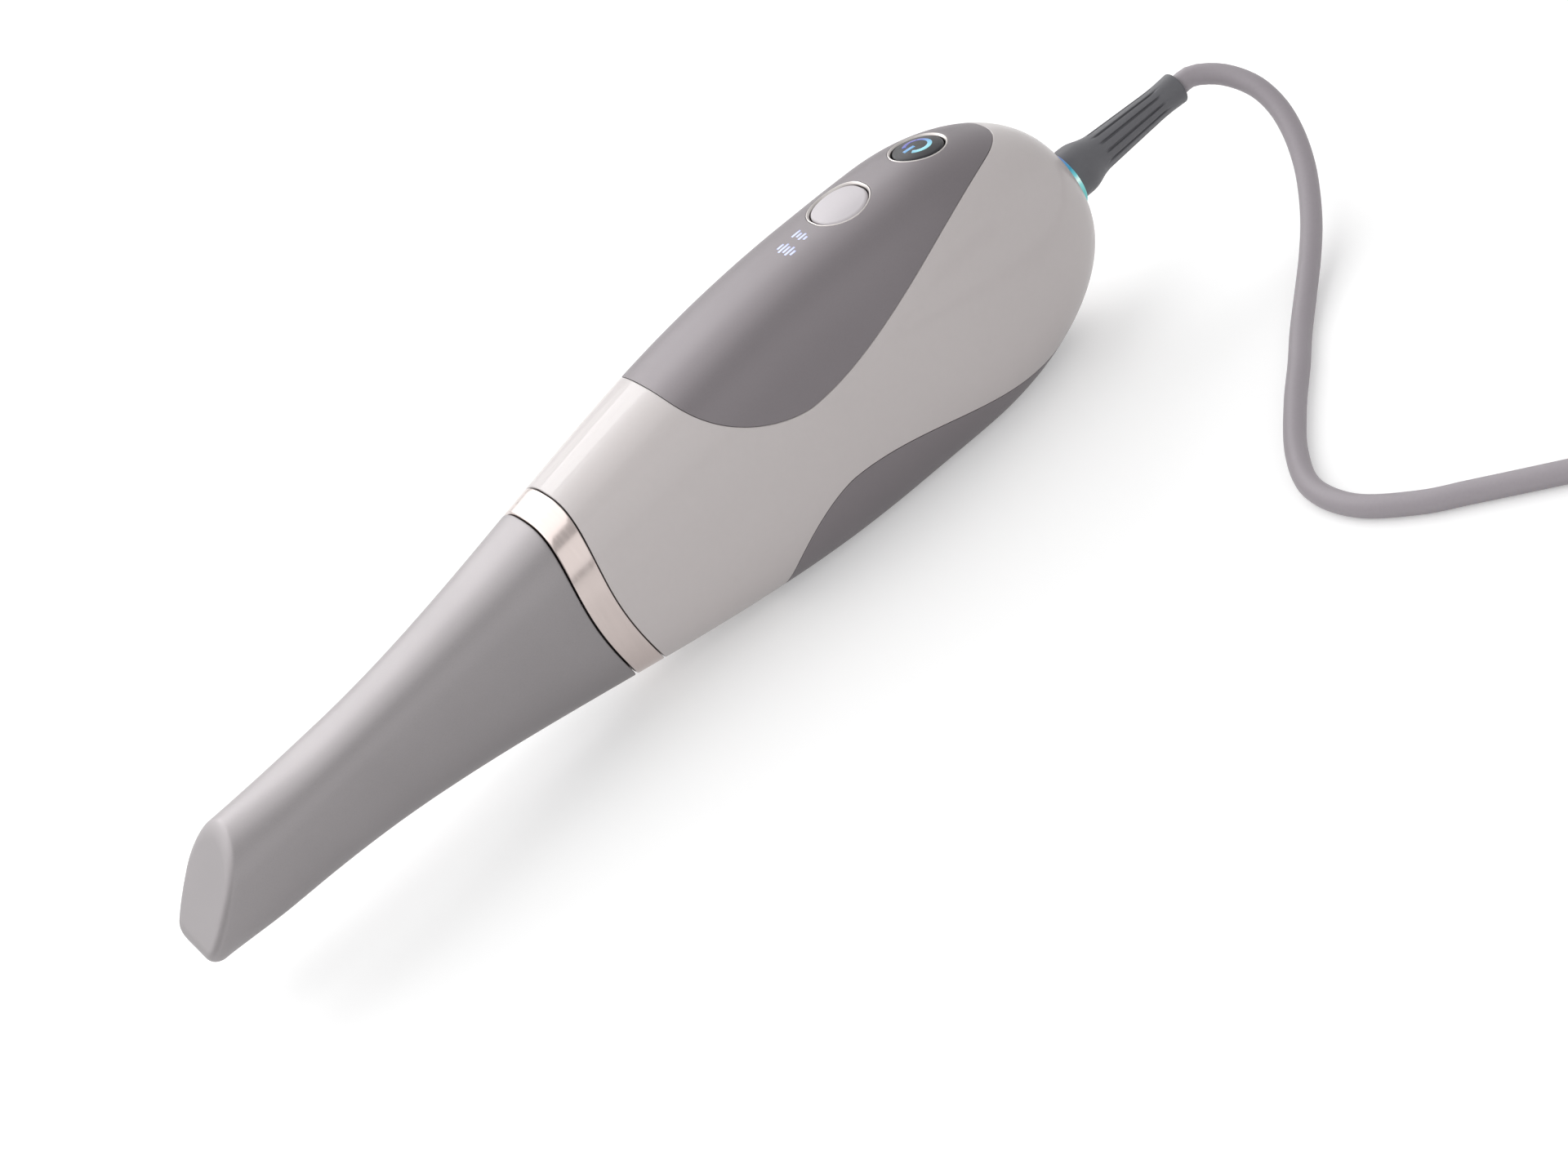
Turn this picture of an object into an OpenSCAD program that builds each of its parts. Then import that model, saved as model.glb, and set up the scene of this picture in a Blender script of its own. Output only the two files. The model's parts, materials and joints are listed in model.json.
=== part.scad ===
// Intraoral scanner handpiece: a slim mirror tip that pulls off, a steel ring, a bulbous grip with
// two inlaid covers, two push buttons and a cable. It lies on its flat belly with +Z up.
// +X runs from the tip to the cable. Lengths are in millimetres. Distances from the tip's end start
// at a zero point, which lies tip_reach behind the end's lower edge.

/* [Body] */
// Length from the end of the tip to the rear end of the housing
body_len = 246; // [240:0.5:256]
// Height of the grip above its axis
body_top = 31.4; // [30:0.1:34]
// Depth of the grip below its axis, before the belly is flattened
body_bottom = 30.6; // [30:0.1:32]
// Half of the grip's width
body_half_w = 21.5; // [20.5:0.1:24]
// Depth of the flat on the belly
belly_flat = 1.2; // [0.8:0.1:1.6]
// Wall of the housing and its covers
wall = 1.8; // [1.6:0.1:2.2]
// Radius of the round rear end
rear_r = 7.2; // [7:0.1:8]
// Length of the rear dome on the top
dome_top = 38; // [34:1:42]
// Length of the rear dome on the belly
dome_bottom = 46; // [42:1:50]
// Length of the rear dome on the sides
dome_side = 52; // [46:1:56]
// Gap between two fixed outer pieces
seam_gap = 0.15; // [0.1:0.05:0.2]

/* [Tip] */
// Height of the tip's end above the axis
tip_top = 9.8; // [9:0.1:11]
// Depth of the tip's end below the axis
tip_bottom = 13.2; // [12:0.1:14]
// Half of the tip's width at its end
tip_half_w = 11.4; // [11:0.1:12]
// Distance from the tip's end to where its top and underside start to spread
flare_start = 25; // [20:1:30]
// How much further back its sides start to spread
side_lag = 15; // [14:0.5:16]
// Share of the body's length over which the top rises to the grip
flare_top_share = 0.66; // [0.63:0.01:0.67]
// Share of the body's length over which the underside falls to the grip
flare_bottom_share = 0.62; // [0.59:0.01:0.63]
// Share of the body's length over which the sides widen to the grip
flare_side_share = 0.5; // [0.48:0.01:0.52]
// Wall of the tip
tip_wall = 1.5; // [1.2:0.1:1.8]
// Wall of the tip's slanted end, along the axis
tip_floor = 2.4; // [2:0.1:3]
// Slant of the tip's end face from upright
tip_slant = 45; // [40:1:50]
// Radius of the tip's lower front edge, seen from the side
tip_edge_r = 3.3; // [3:0.1:3.6]
// How far that edge reaches in front of the zero point
tip_reach = 2.7; // [2.4:0.1:3]
// Radius of the edge round the tip's end face
tip_round = 2.2; // [1.8:0.1:2.4]
// Gap between the tip and the nose that it slides on
tip_clear = 0.5; // [0.3:0.05:0.6]
// Length of the light window in the underside
window_len = 13; // [12:0.5:14]
// Width of the light window
window_w = 14; // [12:0.5:15]
// Distance from the tip's end to the light window
window_x = 3.6; // [3.4:0.1:4]
// Length of the mirror
mirror_len = 13.5; // [12:0.5:14]
// Width of the mirror
mirror_w = 15; // [13:0.5:15]
// Thickness of the mirror
mirror_t = 1.2; // [0.8:0.1:1.5]

/* [Ring] */
// Distance from the tip's end to the tip's seam at the sides
seam_x = 100.5; // [96:0.5:104]
// How far the seam runs back at the top and the underside
seam_bow = 3.2; // [2:0.1:4]
// Width of the steel ring
ring_w = 6.3; // [5:0.1:7.5]
// Gap between the tip and the ring
tip_gap = 0.3; // [0.2:0.05:0.4]

/* [Covers] */
// Distance from the rear end of the housing to the front of both covers
cover_back = 105.5; // [103:0.5:108]
// Distance from the rear end to where the covers reach furthest round the sides
cover_low_back = 82; // [78:1:86]
// Height of the top cover's lowest edge above the axis
top_cover_low = 9.3; // [8:0.1:11]
// Height of the top cover's rear edge above the axis
top_cover_rear = 24; // [22:0.1:25]
// Length over which the top cover's edge rises to its rear height
top_cover_run = 64; // [58:1:68]
// Depth of the bottom cover's highest edge below the axis
bottom_cover_low = 11; // [9:0.1:12]
// Depth of the bottom cover's rear edge below the axis
bottom_cover_rear = 24; // [22:0.1:25]
// Length over which the bottom cover's edge falls to its rear depth
bottom_cover_run = 58; // [54:1:62]

/* [Buttons] */
// Distance from the rear end of the housing to the scan button
scan_back = 48; // [47:0.5:50]
// Length of the scan button's cap along the grip
scan_len = 12.6; // [12:0.1:13]
// How much wider than long the scan button's cap is
scan_more = 1.4; // [1:0.1:1.5]
// Distance from the rear end of the housing to the power button
power_back = 26; // [25.5:0.5:27]
// Diameter of the power button's cap
power_d = 11.6; // [11:0.1:12]
// Travel of both buttons
press_travel = 0.7; // [0.5:0.05:0.8]
// Thickness of a button's cap
cap_t = 3.4; // [3.2:0.1:3.6]
// How far a cap stands above its cover
cap_proud = 0.3; // [0.1:0.05:0.5]
// Gap round a button's cap
cap_gap = 0.3; // [0.25:0.05:0.4]
// Width of the bright rim round a button
bezel_w = 0.6; // [0.5:0.05:0.7]
// Width of the flange that keeps a cap in its cover
flange_w = 1.5; // [1.4:0.1:1.6]
// Thickness of that flange
flange_t = 0.9; // [0.8:0.1:1.2]
// Diameter of a switch's plunger
plunger_d = 3; // [2.6:0.1:3.2]
// Side of a switch's square case
switch_side = 6; // [5.5:0.1:6.5]
// Height of a switch's case
switch_h = 3.2; // [3:0.1:3.5]
// Diameter of an indicator's light pipe
light_d = 2.6; // [2:0.1:3]
// Distance from the rear end of the housing to the first indicator
light_back = 63.5; // [63:0.5:65]
// Spacing of the two indicators
light_step = 4.4; // [3.6:0.1:4.6]
// Length of a light pipe
light_len = 3.6; // [3:0.1:4.5]

/* [Optics] */
// Distance from the tip's end to the front of the nose
nose_x = 62; // [58:1:66]
// Diameter of the objective's barrel
barrel_d = 15; // [14:0.1:15.4]
// Gap round fixed round pieces
fit_gap = 0.1; // [0.05:0.05:0.15]
// Wall of the objective's barrel
barrel_wall = 1.4; // [1:0.1:1.8]
// Thickness of the nose's window
glass_t = 1.6; // [1.2:0.1:2]
// How much wider than the barrel the nose's window is
glass_more = 2; // [1.6:0.1:2.2]
// Thickness of the window's seal
seal_t = 0.6; // [0.4:0.1:0.8]
// Thickness of a lens at its middle
lens_t = 4; // [3:0.1:5]
// Edge thickness of a lens
lens_edge = 1.6; // [1.2:0.1:2]
// Side of the beam splitter
prism_side = 14; // [12:0.1:15]
// Share of the projector's length that its lens takes
proj_lens_share = 0.2; // [0.16:0.01:0.22]
// Diameter of the projector's lens
proj_lens_d = 14; // [12:0.1:15]
// Share of the projector's length that its case takes
proj_share = 0.4; // [0.36:0.01:0.42]
// Width of the projector's case
proj_w = 16; // [14:0.5:16.5]
// Share of the projector's length that its light source takes
source_share = 0.18; // [0.14:0.01:0.2]
// Gap between the heat sink and the bench's rear wall
sink_gap = 4.4; // [3:0.1:6]
// Number of fins on the heat sink
fin_count = 7; // [5:1:8]
// Thickness of a fin
fin_t = 1.2; // [1:0.1:1.4]
// Diameter of the camera's lens
camera_d = 9; // [8:0.1:10]
// Side of the camera's sensor case
sensor_side = 11; // [10:0.1:12]
// Height of the camera's sensor case
sensor_h = 3.5; // [3:0.1:4]

/* [Chassis] */
// Thickness of the optical bench and its walls
bench_t = 3; // [2.5:0.1:3.2]
// Width of the optical bench
bench_w = 26; // [25.5:0.5:27]
// Distance from the tip's end to the bench
bench_x = 113; // [112:0.5:113.5]
// Height of the bench's top above the belly
bench_z = 19; // [18:0.1:19.5]
// Height of the bench's end walls above its top
bench_wall_h = 24; // [23:0.1:25]
// Thickness of a circuit board
board_t = 1.6; // [1.2:0.1:1.8]
// Height of the main board above the belly
main_board_z = 8; // [7:0.1:8.5]
// Length of the main board
main_board_len = 62; // [60:1:64]
// Width of the main board
main_board_w = 26; // [25.5:0.5:27]
// Diameter of the posts that carry the main board
post_d = 4.4; // [4:0.1:4.8]
// Diameter of the screws
screw_d = 2; // [1.8:0.1:2.2]
// Height of a screw's head
screw_head = 1.4; // [1.2:0.1:1.6]
// Height of the board behind the bench
link_board_h = 24; // [22:0.5:26]
// Width of the board behind the bench
link_board_w = 20; // [18:0.5:22]
// Length of the connector on that board
link_len = 8; // [7:0.1:9]
// Gap between that connector and the gland nut
link_gap = 10.4; // [8:0.1:13]
// Width of a button's board
button_board_w = 27.2; // [26.8:0.1:27.6]
// Length of a button's board
button_board_len = 12; // [11:0.1:13]
// Spacing of the bosses that carry a button's board
boss_step = 21.6; // [21.4:0.1:22]
// Diameter of those bosses
boss_d = 4; // [3.6:0.1:4.4]

/* [Cable] */
// Diameter of the cable
cord_d = 4.8; // [4.4:0.1:5]
// Thickness of the light ring's rim
led_rim = 1.4; // [1:0.1:1.8]
// Wall of the light ring's sleeve
led_wall = 0.9; // [0.8:0.05:1]
// Length of the light ring's sleeve
led_sleeve = 8.4; // [8:0.1:9]
// Radius of the light ring's circuit board
led_board_r = 9.5; // [9:0.1:10]
// Length of the gland nut
nut_len = 4; // [3:0.1:5]
// Length of the strain relief outside the housing
relief_len = 33.6; // [30:0.1:36]
// Radius of the strain relief's foot
relief_foot_r = 6; // [5.6:0.1:6.4]
// Radius of the strain relief's stem next to its foot
relief_stem_r = 4.5; // [4.3:0.1:4.8]
// Radius of the strain relief's waist, where the stem is thinnest
relief_waist_r = 3.5; // [3.4:0.1:3.7]
// Radius of the strain relief's free end
relief_end_r = 3.8; // [3.6:0.1:4]
// Number of grooves along the strain relief
groove_count = 10; // [6:1:12]
// Depth of those grooves
groove_deep = 0.5; // [0.3:0.05:0.6]
// Width of those grooves
groove_w = 1; // [0.8:0.1:1.2]
// Number of turns in a layer of the coil
coil_turns = 2.5; // [2:0.5:3]
// Radius of the coil's outermost turn
coil_r = 33; // [31:0.5:35]
// Gap between neighbouring turns
coil_gap = 0.6; // [0.5:0.05:0.8]
// Thickness of the coil's tie
tie_t = 1.2; // [1:0.1:1.5]
// Width of the coil's tie
tie_w = 8; // [6:0.5:10]
// Gap between the tie and the coil
tie_gap = 0.3; // [0.3:0.05:0.5]
// Length of the plug's grip
grip_len = 27; // [24:0.5:32]
// Width of the plug's grip
grip_w = 15.6; // [14:0.1:17]
// Height of the plug's grip
grip_h = 8; // [7:0.1:9]
// Length of the plug's metal shell
shell_len = 12; // [11:0.1:13]
// Width of the plug's metal shell
shell_w = 12; // [11.5:0.1:12.5]
// Height of the plug's metal shell
shell_h = 4.5; // [4.2:0.1:4.8]
// Wall of the plug's metal shell
shell_wall = 0.35; // [0.3:0.05:0.4]

/* [Hidden] */
$fn = 48;

axis_z = body_bottom - belly_flat;
flare_top = flare_top_share * body_len;
flare_bottom = flare_bottom_share * body_len;
flare_side = flare_side_share * body_len;
cord_r = cord_d / 2;
led_face = body_len + led_rim;
led_board_x = body_len - led_sleeve - board_t;
nut_x = led_board_x - nut_len;
link_board_x = nut_x - link_gap - link_len - board_t;
bench_len = link_board_x - bench_x;
relief_end = led_face + relief_len;
middle_x = (relief_end - tip_reach) / 2;

// Section exponents: the tip is an inverted U, the grip is an egg, the rear end is a circle
tip_exp_up = 2.6;
tip_exp_low = 3.4;
grip_exp_up = 2.8;
grip_exp_low = 3;
exp_from = 60;
exp_to = 140;

// Height over which the seam's bow is measured
bow_height = 20;
// Length behind the tip's end over which its sections stand up from the slant
slant_run = 40;
// Exponent of a cover's front corner
cover_corner = 1.6;

nose_inset = max(tip_wall + tip_clear, wall + seam_gap);
ring_inset = nose_inset - seam_gap;
cover_front = body_len - cover_back;
cover_low_x = body_len - cover_low_back;
scan_x = body_len - scan_back;
power_x = body_len - power_back;
light_x = body_len - light_back;
ring_x = seam_x + tip_gap;
housing_x = ring_x + ring_w + seam_gap;

// Smooth step from 0 to 1
function smooth(t) = let (c = min(max(t, 0), 1)) c * c * (3 - 2 * c);

function mix(a, b, t) = a + (b - a) * t;

// Quarter ellipse that closes the rear end over a run
function dome(x, run) = let (u = min(max((x - body_len + run) / run, 0), 1)) sqrt(1 - u * u);

function flare(x, from, to, run) = mix(from, to, smooth((x - flare_start) / run));

function top_h(x) = mix(rear_r, flare(x, tip_top, body_top, flare_top), dome(x, dome_top));

function bottom_h(x) = mix(rear_r, flare(x, tip_bottom, body_bottom, flare_bottom),
    dome(x, dome_bottom));

function half_w(x) = mix(rear_r, flare(x - side_lag, tip_half_w, body_half_w, flare_side),
    dome(x, dome_side));

function section_exp(x, tip, grip) = mix(2, mix(tip, grip,
    min(max((x - exp_from) / (exp_to - exp_from), 0), 1)), dome(x, dome_side));

function exp_up(x) = section_exp(x, tip_exp_up, grip_exp_up);

function exp_low(x) = section_exp(x, tip_exp_low, grip_exp_low);

function signed_pow(v, e) = sign(v) * pow(abs(v), e);

// A point of the outer surface, or of one set in from it. The angle is 0 at the near side,
// 90 on the top, 180 at the far side and 270 on the belly.
function outer_point(x, angle, inset = 0) = let (
    up = sin(angle) >= 0,
    e = 2 / (up ? exp_up(x) : exp_low(x)),
    h = (up ? top_h(x) : bottom_h(x)) - inset
) [x, -(half_w(x) - inset) * signed_pow(cos(angle), e),
    max(axis_z + h * signed_pow(sin(angle), e), inset)];

// Heights from the axis of the middle of the tip's lower front edge, and of the end face's foot
edge_mid = tip_edge_r - tip_bottom;
face_h = edge_mid + tip_edge_r * sin(tip_slant);

// The tip's end seen from the side: a slanted face on a round lower edge
function end_x(h) = (h > face_h
    ? tip_edge_r * (1 - cos(tip_slant)) + tan(tip_slant) * (h - face_h)
    : tip_edge_r - sqrt(max(pow(tip_edge_r, 2) - pow(h - edge_mid, 2), 0))) - tip_reach;

// How much of the end's form is left at a distance behind it
function end_share(x) = max(0, 1 - x / slant_run);

// The same point on a station that follows the tip's end and bows at the seam
function station(x, angle, inset = 0) = let (
    z = outer_point(x, angle, inset).z,
    bow = seam_bow * smooth((x - exp_from) / (seam_x - exp_from))
        * (1 - smooth((x - housing_x) / (cover_front - housing_x)))
        * pow((z - axis_z) / bow_height, 2),
    xs = x + end_share(x) * end_x(z - axis_z) + bow
) outer_point(xs, angle, inset);

// Closed skin over rings with equal numbers of points. Its ends are strips from side to side.
module skin(rings, wrap = false) {
    n = len(rings[0]);
    m = len(rings);
    last = (m - 1) * n;
    sides = [for (i = [0 : wrap ? m - 1 : m - 2], j = [0 : n - 1]) let (
        a = i * n + j,
        b = i * n + (j + 1) % n,
        c = ((i + 1) % m) * n + j,
        d = ((i + 1) % m) * n + (j + 1) % n
    ) each [[a, b, c], [b, d, c]]];
    low = floor(0.75 * n);
    ends = wrap ? [] : [for (i = [0 : n / 2 - 1]) let (
        a = (low + i) % n,
        b = (low + i + 1) % n,
        c = (low - i + n) % n,
        d = (low - i - 1 + n) % n
    ) each [if (a != c) each [[b, a, c], [last + a, last + b, last + c]],
        if (b != d) each [[d, b, c], [last + b, last + d, last + c]]]];
    polyhedron(points = [for (r = rings, p = r) p], faces = concat(sides, ends));
}

// Closed skin over stations that are each a strip, outer points first and inner points back.
// It runs to a point at both ends, given as an outer and an inner point.
module strip_skin(rings, front, rear) {
    n = len(rings[0]);
    m = len(rings);
    h = n / 2;
    f = m * n;
    r = f + 2;
    last = (m - 1) * n;
    sides = [for (i = [0 : m - 2], j = [0 : n - 1]) let (
        a = i * n + j,
        b = i * n + (j + 1) % n
    ) each [[a, b, a + n], [b, b + n, a + n]]];
    fans = [for (j = [0 : n - 1]) let (
        k = (j + 1) % n,
        from = j < h ? 0 : 1,
        to = k < h ? 0 : 1
    ) each [[k, j, f + from], [last + j, last + k, r + to],
        if (from != to) each [[k, f + from, f + to], [last + j, r + to, r + from]]]];
    polyhedron(points = concat([for (q = rings, p = q) p], front, rear), faces = concat(sides, fans));
}

// Puts the origin under the middle of the object
module place() {
    translate([-middle_x, 0, 0]) children();
}

// Turns +Z to +X at a distance along the axis
module along(x) {
    translate([x, 0, axis_z]) rotate([0, 90, 0]) children();
}

module box(x, y, z, from) {
    translate([from.x, from.y - y / 2, from.z]) cube([x, y, z]);
}

ring_n = 40;

function loop(x, inset) = [for (j = [0 : ring_n - 1]) station(x, j * 360 / ring_n, inset)];

// Tip
tip_stations = [6, 12, 20, 30, 42, 55, 68, 80, 91];

end_angles = [90, 60, 30, 0];

function tip_outer() = concat(
    [for (a = end_angles) loop(tip_round * (1 - sin(a)), tip_round * (1 - cos(a)))],
    [for (x = tip_stations) loop(x, 0)],
    [loop(seam_x, 0)]);

function tip_inner() = concat(
    [loop(seam_x, tip_wall)],
    [for (i = [len(tip_stations) - 1 : -1 : 0]) loop(tip_stations[i], tip_wall)],
    [loop(tip_floor, tip_wall)]);

module rounded_slot(len, w, h, r) {
    linear_extrude(h) union() {
        translate([r, -w / 2]) square([len - 2 * r, w]);
        translate([0, r - w / 2]) square([len, w - 2 * r]);
        for (x = [r, len - r], y = [r - w / 2, w / 2 - r]) translate([x, y]) circle(r);
    }
}

window_round = 2;

module tip_shell() {
    color([0.62, 0.61, 0.62]) place() difference() {
        skin(concat(tip_outer(), tip_inner()));
        translate([window_x, 0, axis_z - tip_bottom - tip_wall])
            rounded_slot(window_len, window_w, 3 * tip_wall, window_round);
    }
}

mirror_tilt = atan(tan(tip_slant) * end_share(tip_floor));
// Distance up the end face from its foot to the mirror's lower edge
mirror_from = 0.6;
mirror_glue = 0.2;

module tip_mirror() {
    color([0.85, 0.88, 0.9]) place()
        translate([tip_floor + end_share(tip_floor) * end_x(face_h), 0, axis_z + face_h])
            rotate([0, mirror_tilt, 0])
                box(mirror_t, mirror_w, mirror_len, [mirror_glue, 0, mirror_from]);
}

// Steel ring and nose
module collar_ring() {
    color([0.75, 0.74, 0.73]) place() skin([
        loop(ring_x, 0), loop(ring_x + ring_w / 2, 0), loop(ring_x + ring_w, 0),
        loop(ring_x + ring_w, ring_inset), loop(ring_x, ring_inset)], true);
}

nose_stations = [0, 0.25, 0.5, 0.75, 1];
barrel_r = barrel_d / 2;
glass_r = barrel_r + glass_more / 2;

// Lengths of the nose's solid ends, and the wall round the room between them
nose_front = 5;
nose_back = 8;
nose_wall = 1.8;

function nose_room(x) = min(half_w(x), top_h(x), bottom_h(x)) - nose_inset - nose_wall;

module nose() {
    color([0.32, 0.33, 0.35]) place() difference() {
        skin([for (s = nose_stations) [for (j = [0 : ring_n - 1])
            outer_point(mix(nose_x, bench_x, s), j * 360 / ring_n, nose_inset)]]);
        along(nose_x - 1) cylinder(r = barrel_r + fit_gap, h = bench_x - nose_x + 2);
        along(nose_x - 1) cylinder(r = glass_r + fit_gap, h = 1 + glass_t + seal_t);
        along(nose_x + nose_front) cylinder(r1 = nose_room(nose_x + nose_front),
            r2 = nose_room(bench_x - nose_back), h = bench_x - nose_back - nose_x - nose_front);
        flange_places() cylinder(d = screw_d + 2 * fit_gap, h = 2 * flange_screw_deep, center = true);
    }
}

module nose_window() {
    color([0.7, 0.82, 0.86, 0.6]) place() along(nose_x) cylinder(r = glass_r, h = glass_t);
}

seal_lip = 1;

module window_seal() {
    color([0.12, 0.12, 0.13]) place() along(nose_x + glass_t) difference() {
        cylinder(r = glass_r, h = seal_t);
        translate([0, 0, -1]) cylinder(r = glass_r - seal_lip - glass_more / 2, h = seal_t + 2);
    }
}

barrel_x = nose_x + glass_t + seal_t;
barrel_end = bench_x + bench_t + 1;
prism_x = bench_x + bench_t + screw_head + 2;

module objective_barrel() {
    color([0.16, 0.16, 0.17]) place() along(barrel_x) difference() {
        cylinder(r = barrel_r, h = barrel_end - barrel_x);
        translate([0, 0, -1]) cylinder(r = barrel_r - barrel_wall, h = barrel_end - barrel_x + 2);
    }
}

lens_r = barrel_r - barrel_wall - fit_gap;
lens_places = [barrel_x + 5, barrel_end - 10];

// A lens with two round faces, on +Z
module lens(r, middle, edge) {
    sag = (middle - edge) / 2;
    ball = (r * r + sag * sag) / (2 * sag);
    intersection() {
        cylinder(r = r, h = 2 * middle, center = true);
        translate([0, 0, ball - middle / 2]) sphere(ball);
        translate([0, 0, middle / 2 - ball]) sphere(ball);
    }
}

module objective_lenses() {
    color([0.75, 0.85, 0.9, 0.5]) place()
        for (x = lens_places) along(x) lens(lens_r, lens_t, lens_edge);
}

// Housing and its two covers
function corner_curve(u) = 1 - pow(1 - pow(min(max(u, 0), 1), cover_corner), 1 / cover_corner);

// Height of a cover's edge from the axis: steep at the front, lowest at its middle, then a long rise
function edge_h(x, front, front_h, low, rear, run) = x < cover_low_x
    ? mix(low, front_h, corner_curve((cover_low_x - x) / (cover_low_x - front)))
    : mix(low, rear, smooth((x - cover_low_x) / run));

function edge_angle(h, full, e) = h >= full ? 90 : asin(pow(h / full, e / 2));

// Edge angles of the covers, or of the openings that they close, up from the near side
function top_edge(x, gap) = edge_angle(edge_h(x, cover_front + gap, top_h(cover_front + gap),
    top_cover_low + gap, top_cover_rear + gap, top_cover_run), top_h(x), exp_up(x));

function bottom_edge(x, gap) = edge_angle(edge_h(x, cover_front + gap, bottom_h(cover_front + gap),
    bottom_cover_low + gap, bottom_cover_rear + gap, bottom_cover_run), bottom_h(x), exp_low(x));

// Where a height on the rear dome is reached
function dome_x(h, full, run) = let (s = (h - rear_r) / (full - rear_r))
    body_len - run + run * sqrt(1 - s * s);

function top_rear_x(gap) = dome_x(top_cover_rear + gap, body_top, dome_top);

function bottom_rear_x(gap) = dome_x(bottom_cover_rear + gap, body_bottom, dome_bottom);

housing_front_n = 4;
corner_n = 8;
side_n = 11;
rear_n = 4;
housing_dome_n = 6;
strip_n = 13;

// Stations from the front of a cover to its rear, closer together at both ends
function corner_stations(front) = [for (i = [1 : corner_n])
    mix(front, cover_low_x, pow(i / corner_n, 2))];

function side_stations(rear) = [for (i = [1 : side_n]) mix(rear, cover_low_x, pow(1 - i / side_n, 2))];

function rear_stations(from, rear) = [for (i = [1 : rear_n]) mix(rear, from, pow(1 - i / rear_n, 2))];

housing_stations = concat(
    [for (i = [0 : housing_front_n]) mix(housing_x, cover_front, i / housing_front_n)],
    corner_stations(cover_front),
    side_stations(bottom_rear_x(0)),
    rear_stations(bottom_rear_x(0), top_rear_x(0)),
    [for (i = [1 : housing_dome_n]) mix(body_len, top_rear_x(0), pow(1 - i / housing_dome_n, 2))]);

function top_open(x) = x > cover_front + 0.001 && x < top_rear_x(0) - 0.001;

function bottom_open(x) = x > cover_front + 0.001 && x < bottom_rear_x(0) - 0.001;

// One side's strip of a station, from the top opening down to the bottom opening
function strip(x, inset, side) = let (
    from = top_open(x) ? top_edge(x, 0) : 90,
    to = bottom_open(x) ? -bottom_edge(x, 0) : -90
) [for (j = [0 : strip_n - 1]) let (p = station(x, mix(from, to, j / (strip_n - 1)), inset))
    [p.x, side * p.y, p.z]];

function housing_points() = [for (x = housing_stations, side = [1, -1], inset = [0, wall])
    each strip(x, inset, side)];

// Number of a point. The two sides share it where an opening is closed.
function housing_id(i, side, inner, j) = let (
    x = housing_stations[i],
    shared = j == 0 && !top_open(x) || j == strip_n - 1 && !bottom_open(x)
) ((i * 2 + (shared ? 0 : side)) * 2 + inner) * strip_n + j;

function quad(a, b, c, d, flip) = flip ? [[a, c, b], [b, c, d]] : [[a, b, c], [b, d, c]];

function housing_faces() = let (
    m = len(housing_stations) - 1,
    e = strip_n - 1,
    id = function (i, side, inner, j) housing_id(i, side, inner, j)
) [
    for (i = [0 : m - 1], side = [0, 1], inner = [0, 1], j = [0 : e - 1])
        each quad(id(i, side, inner, j), id(i, side, inner, j + 1),
            id(i + 1, side, inner, j), id(i + 1, side, inner, j + 1), (side + inner) % 2 == 0),
    for (i = [0 : m - 1], side = [0, 1]) if (top_open(housing_stations[i])
        || top_open(housing_stations[i + 1]))
        each quad(id(i, side, 0, 0), id(i, side, 1, 0),
            id(i + 1, side, 0, 0), id(i + 1, side, 1, 0), side == 1),
    for (i = [0 : m - 1], side = [0, 1]) if (bottom_open(housing_stations[i])
        || bottom_open(housing_stations[i + 1]))
        each quad(id(i, side, 0, e), id(i, side, 1, e),
            id(i + 1, side, 0, e), id(i + 1, side, 1, e), side == 0),
    for (i = [0, m], side = [0, 1], j = [0 : e - 1])
        each quad(id(i, side, 0, j), id(i, side, 0, j + 1),
            id(i, side, 1, j), id(i, side, 1, j + 1), (side == 0) == (i == m))
];

module housing() {
    color([0.9, 0.89, 0.87]) place()
        polyhedron(points = housing_points(), faces = housing_faces());
}

cover_half_n = 7;

// A strip from one edge over the middle to the other edge, and back along the inside
function cover_ring(x, from, to) = let (n = 2 * cover_half_n) concat(
    [for (j = [0 : n]) station(x, mix(from, to, j / n), 0)],
    [for (j = [n : -1 : 0]) station(x, mix(from, to, j / n), wall)]);

function cover_point(x, angle) = [station(x, angle, 0), station(x, angle, wall)];

function all_but_last(list) = [for (i = [0 : len(list) - 2]) list[i]];

// Places of the two buttons: the surface point and the tilt of its normal
slope_step = 0.1;

function ridge_tilt(x) = atan((top_h(x - slope_step) - top_h(x + slope_step)) / (2 * slope_step));

module on_ridge(x) {
    translate([x, 0, axis_z + top_h(x)]) rotate([0, ridge_tilt(x), 0]) children();
}

// Two half circles joined across the grip
module stadium(d, more, h) {
    linear_extrude(h) union() {
        for (s = [-1, 1]) translate([0, s * more / 2]) circle(d = d);
        square([d, more], center = true);
    }
}

bezel_gap = 0.05;
button_hole = 2 * (cap_gap + bezel_w + bezel_gap);
// Depths below the ridge of what a button's cap works on
flange_top = -cap_t + cap_proud;
plunger_top = flange_top - flange_t;
switch_room = 0.6;
switch_sole = 0.4;
switch_top = plunger_top - press_travel - switch_room;
button_board_top = switch_top - switch_h;
// The plunger stops short of the switch's sole when the button is down
plunger_stop = 0.2;
plunger_len = plunger_top - button_board_top - switch_sole - press_travel - plunger_stop;
// How far a boss or a post stays inside the outer face of its cover
root_cover = 0.4;

// Depth of the outer surface below the ridge, or its height on the belly, at a distance to the side
function ridge_drop(x, y) = top_h(x) * (1 - pow(1 - pow(y / half_w(x), exp_up(x)), 1 / exp_up(x)));

function belly_rise(x, y) = axis_z - bottom_h(x) * pow(1 - pow(y / half_w(x), exp_low(x)), 1 / exp_low(x));

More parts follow.
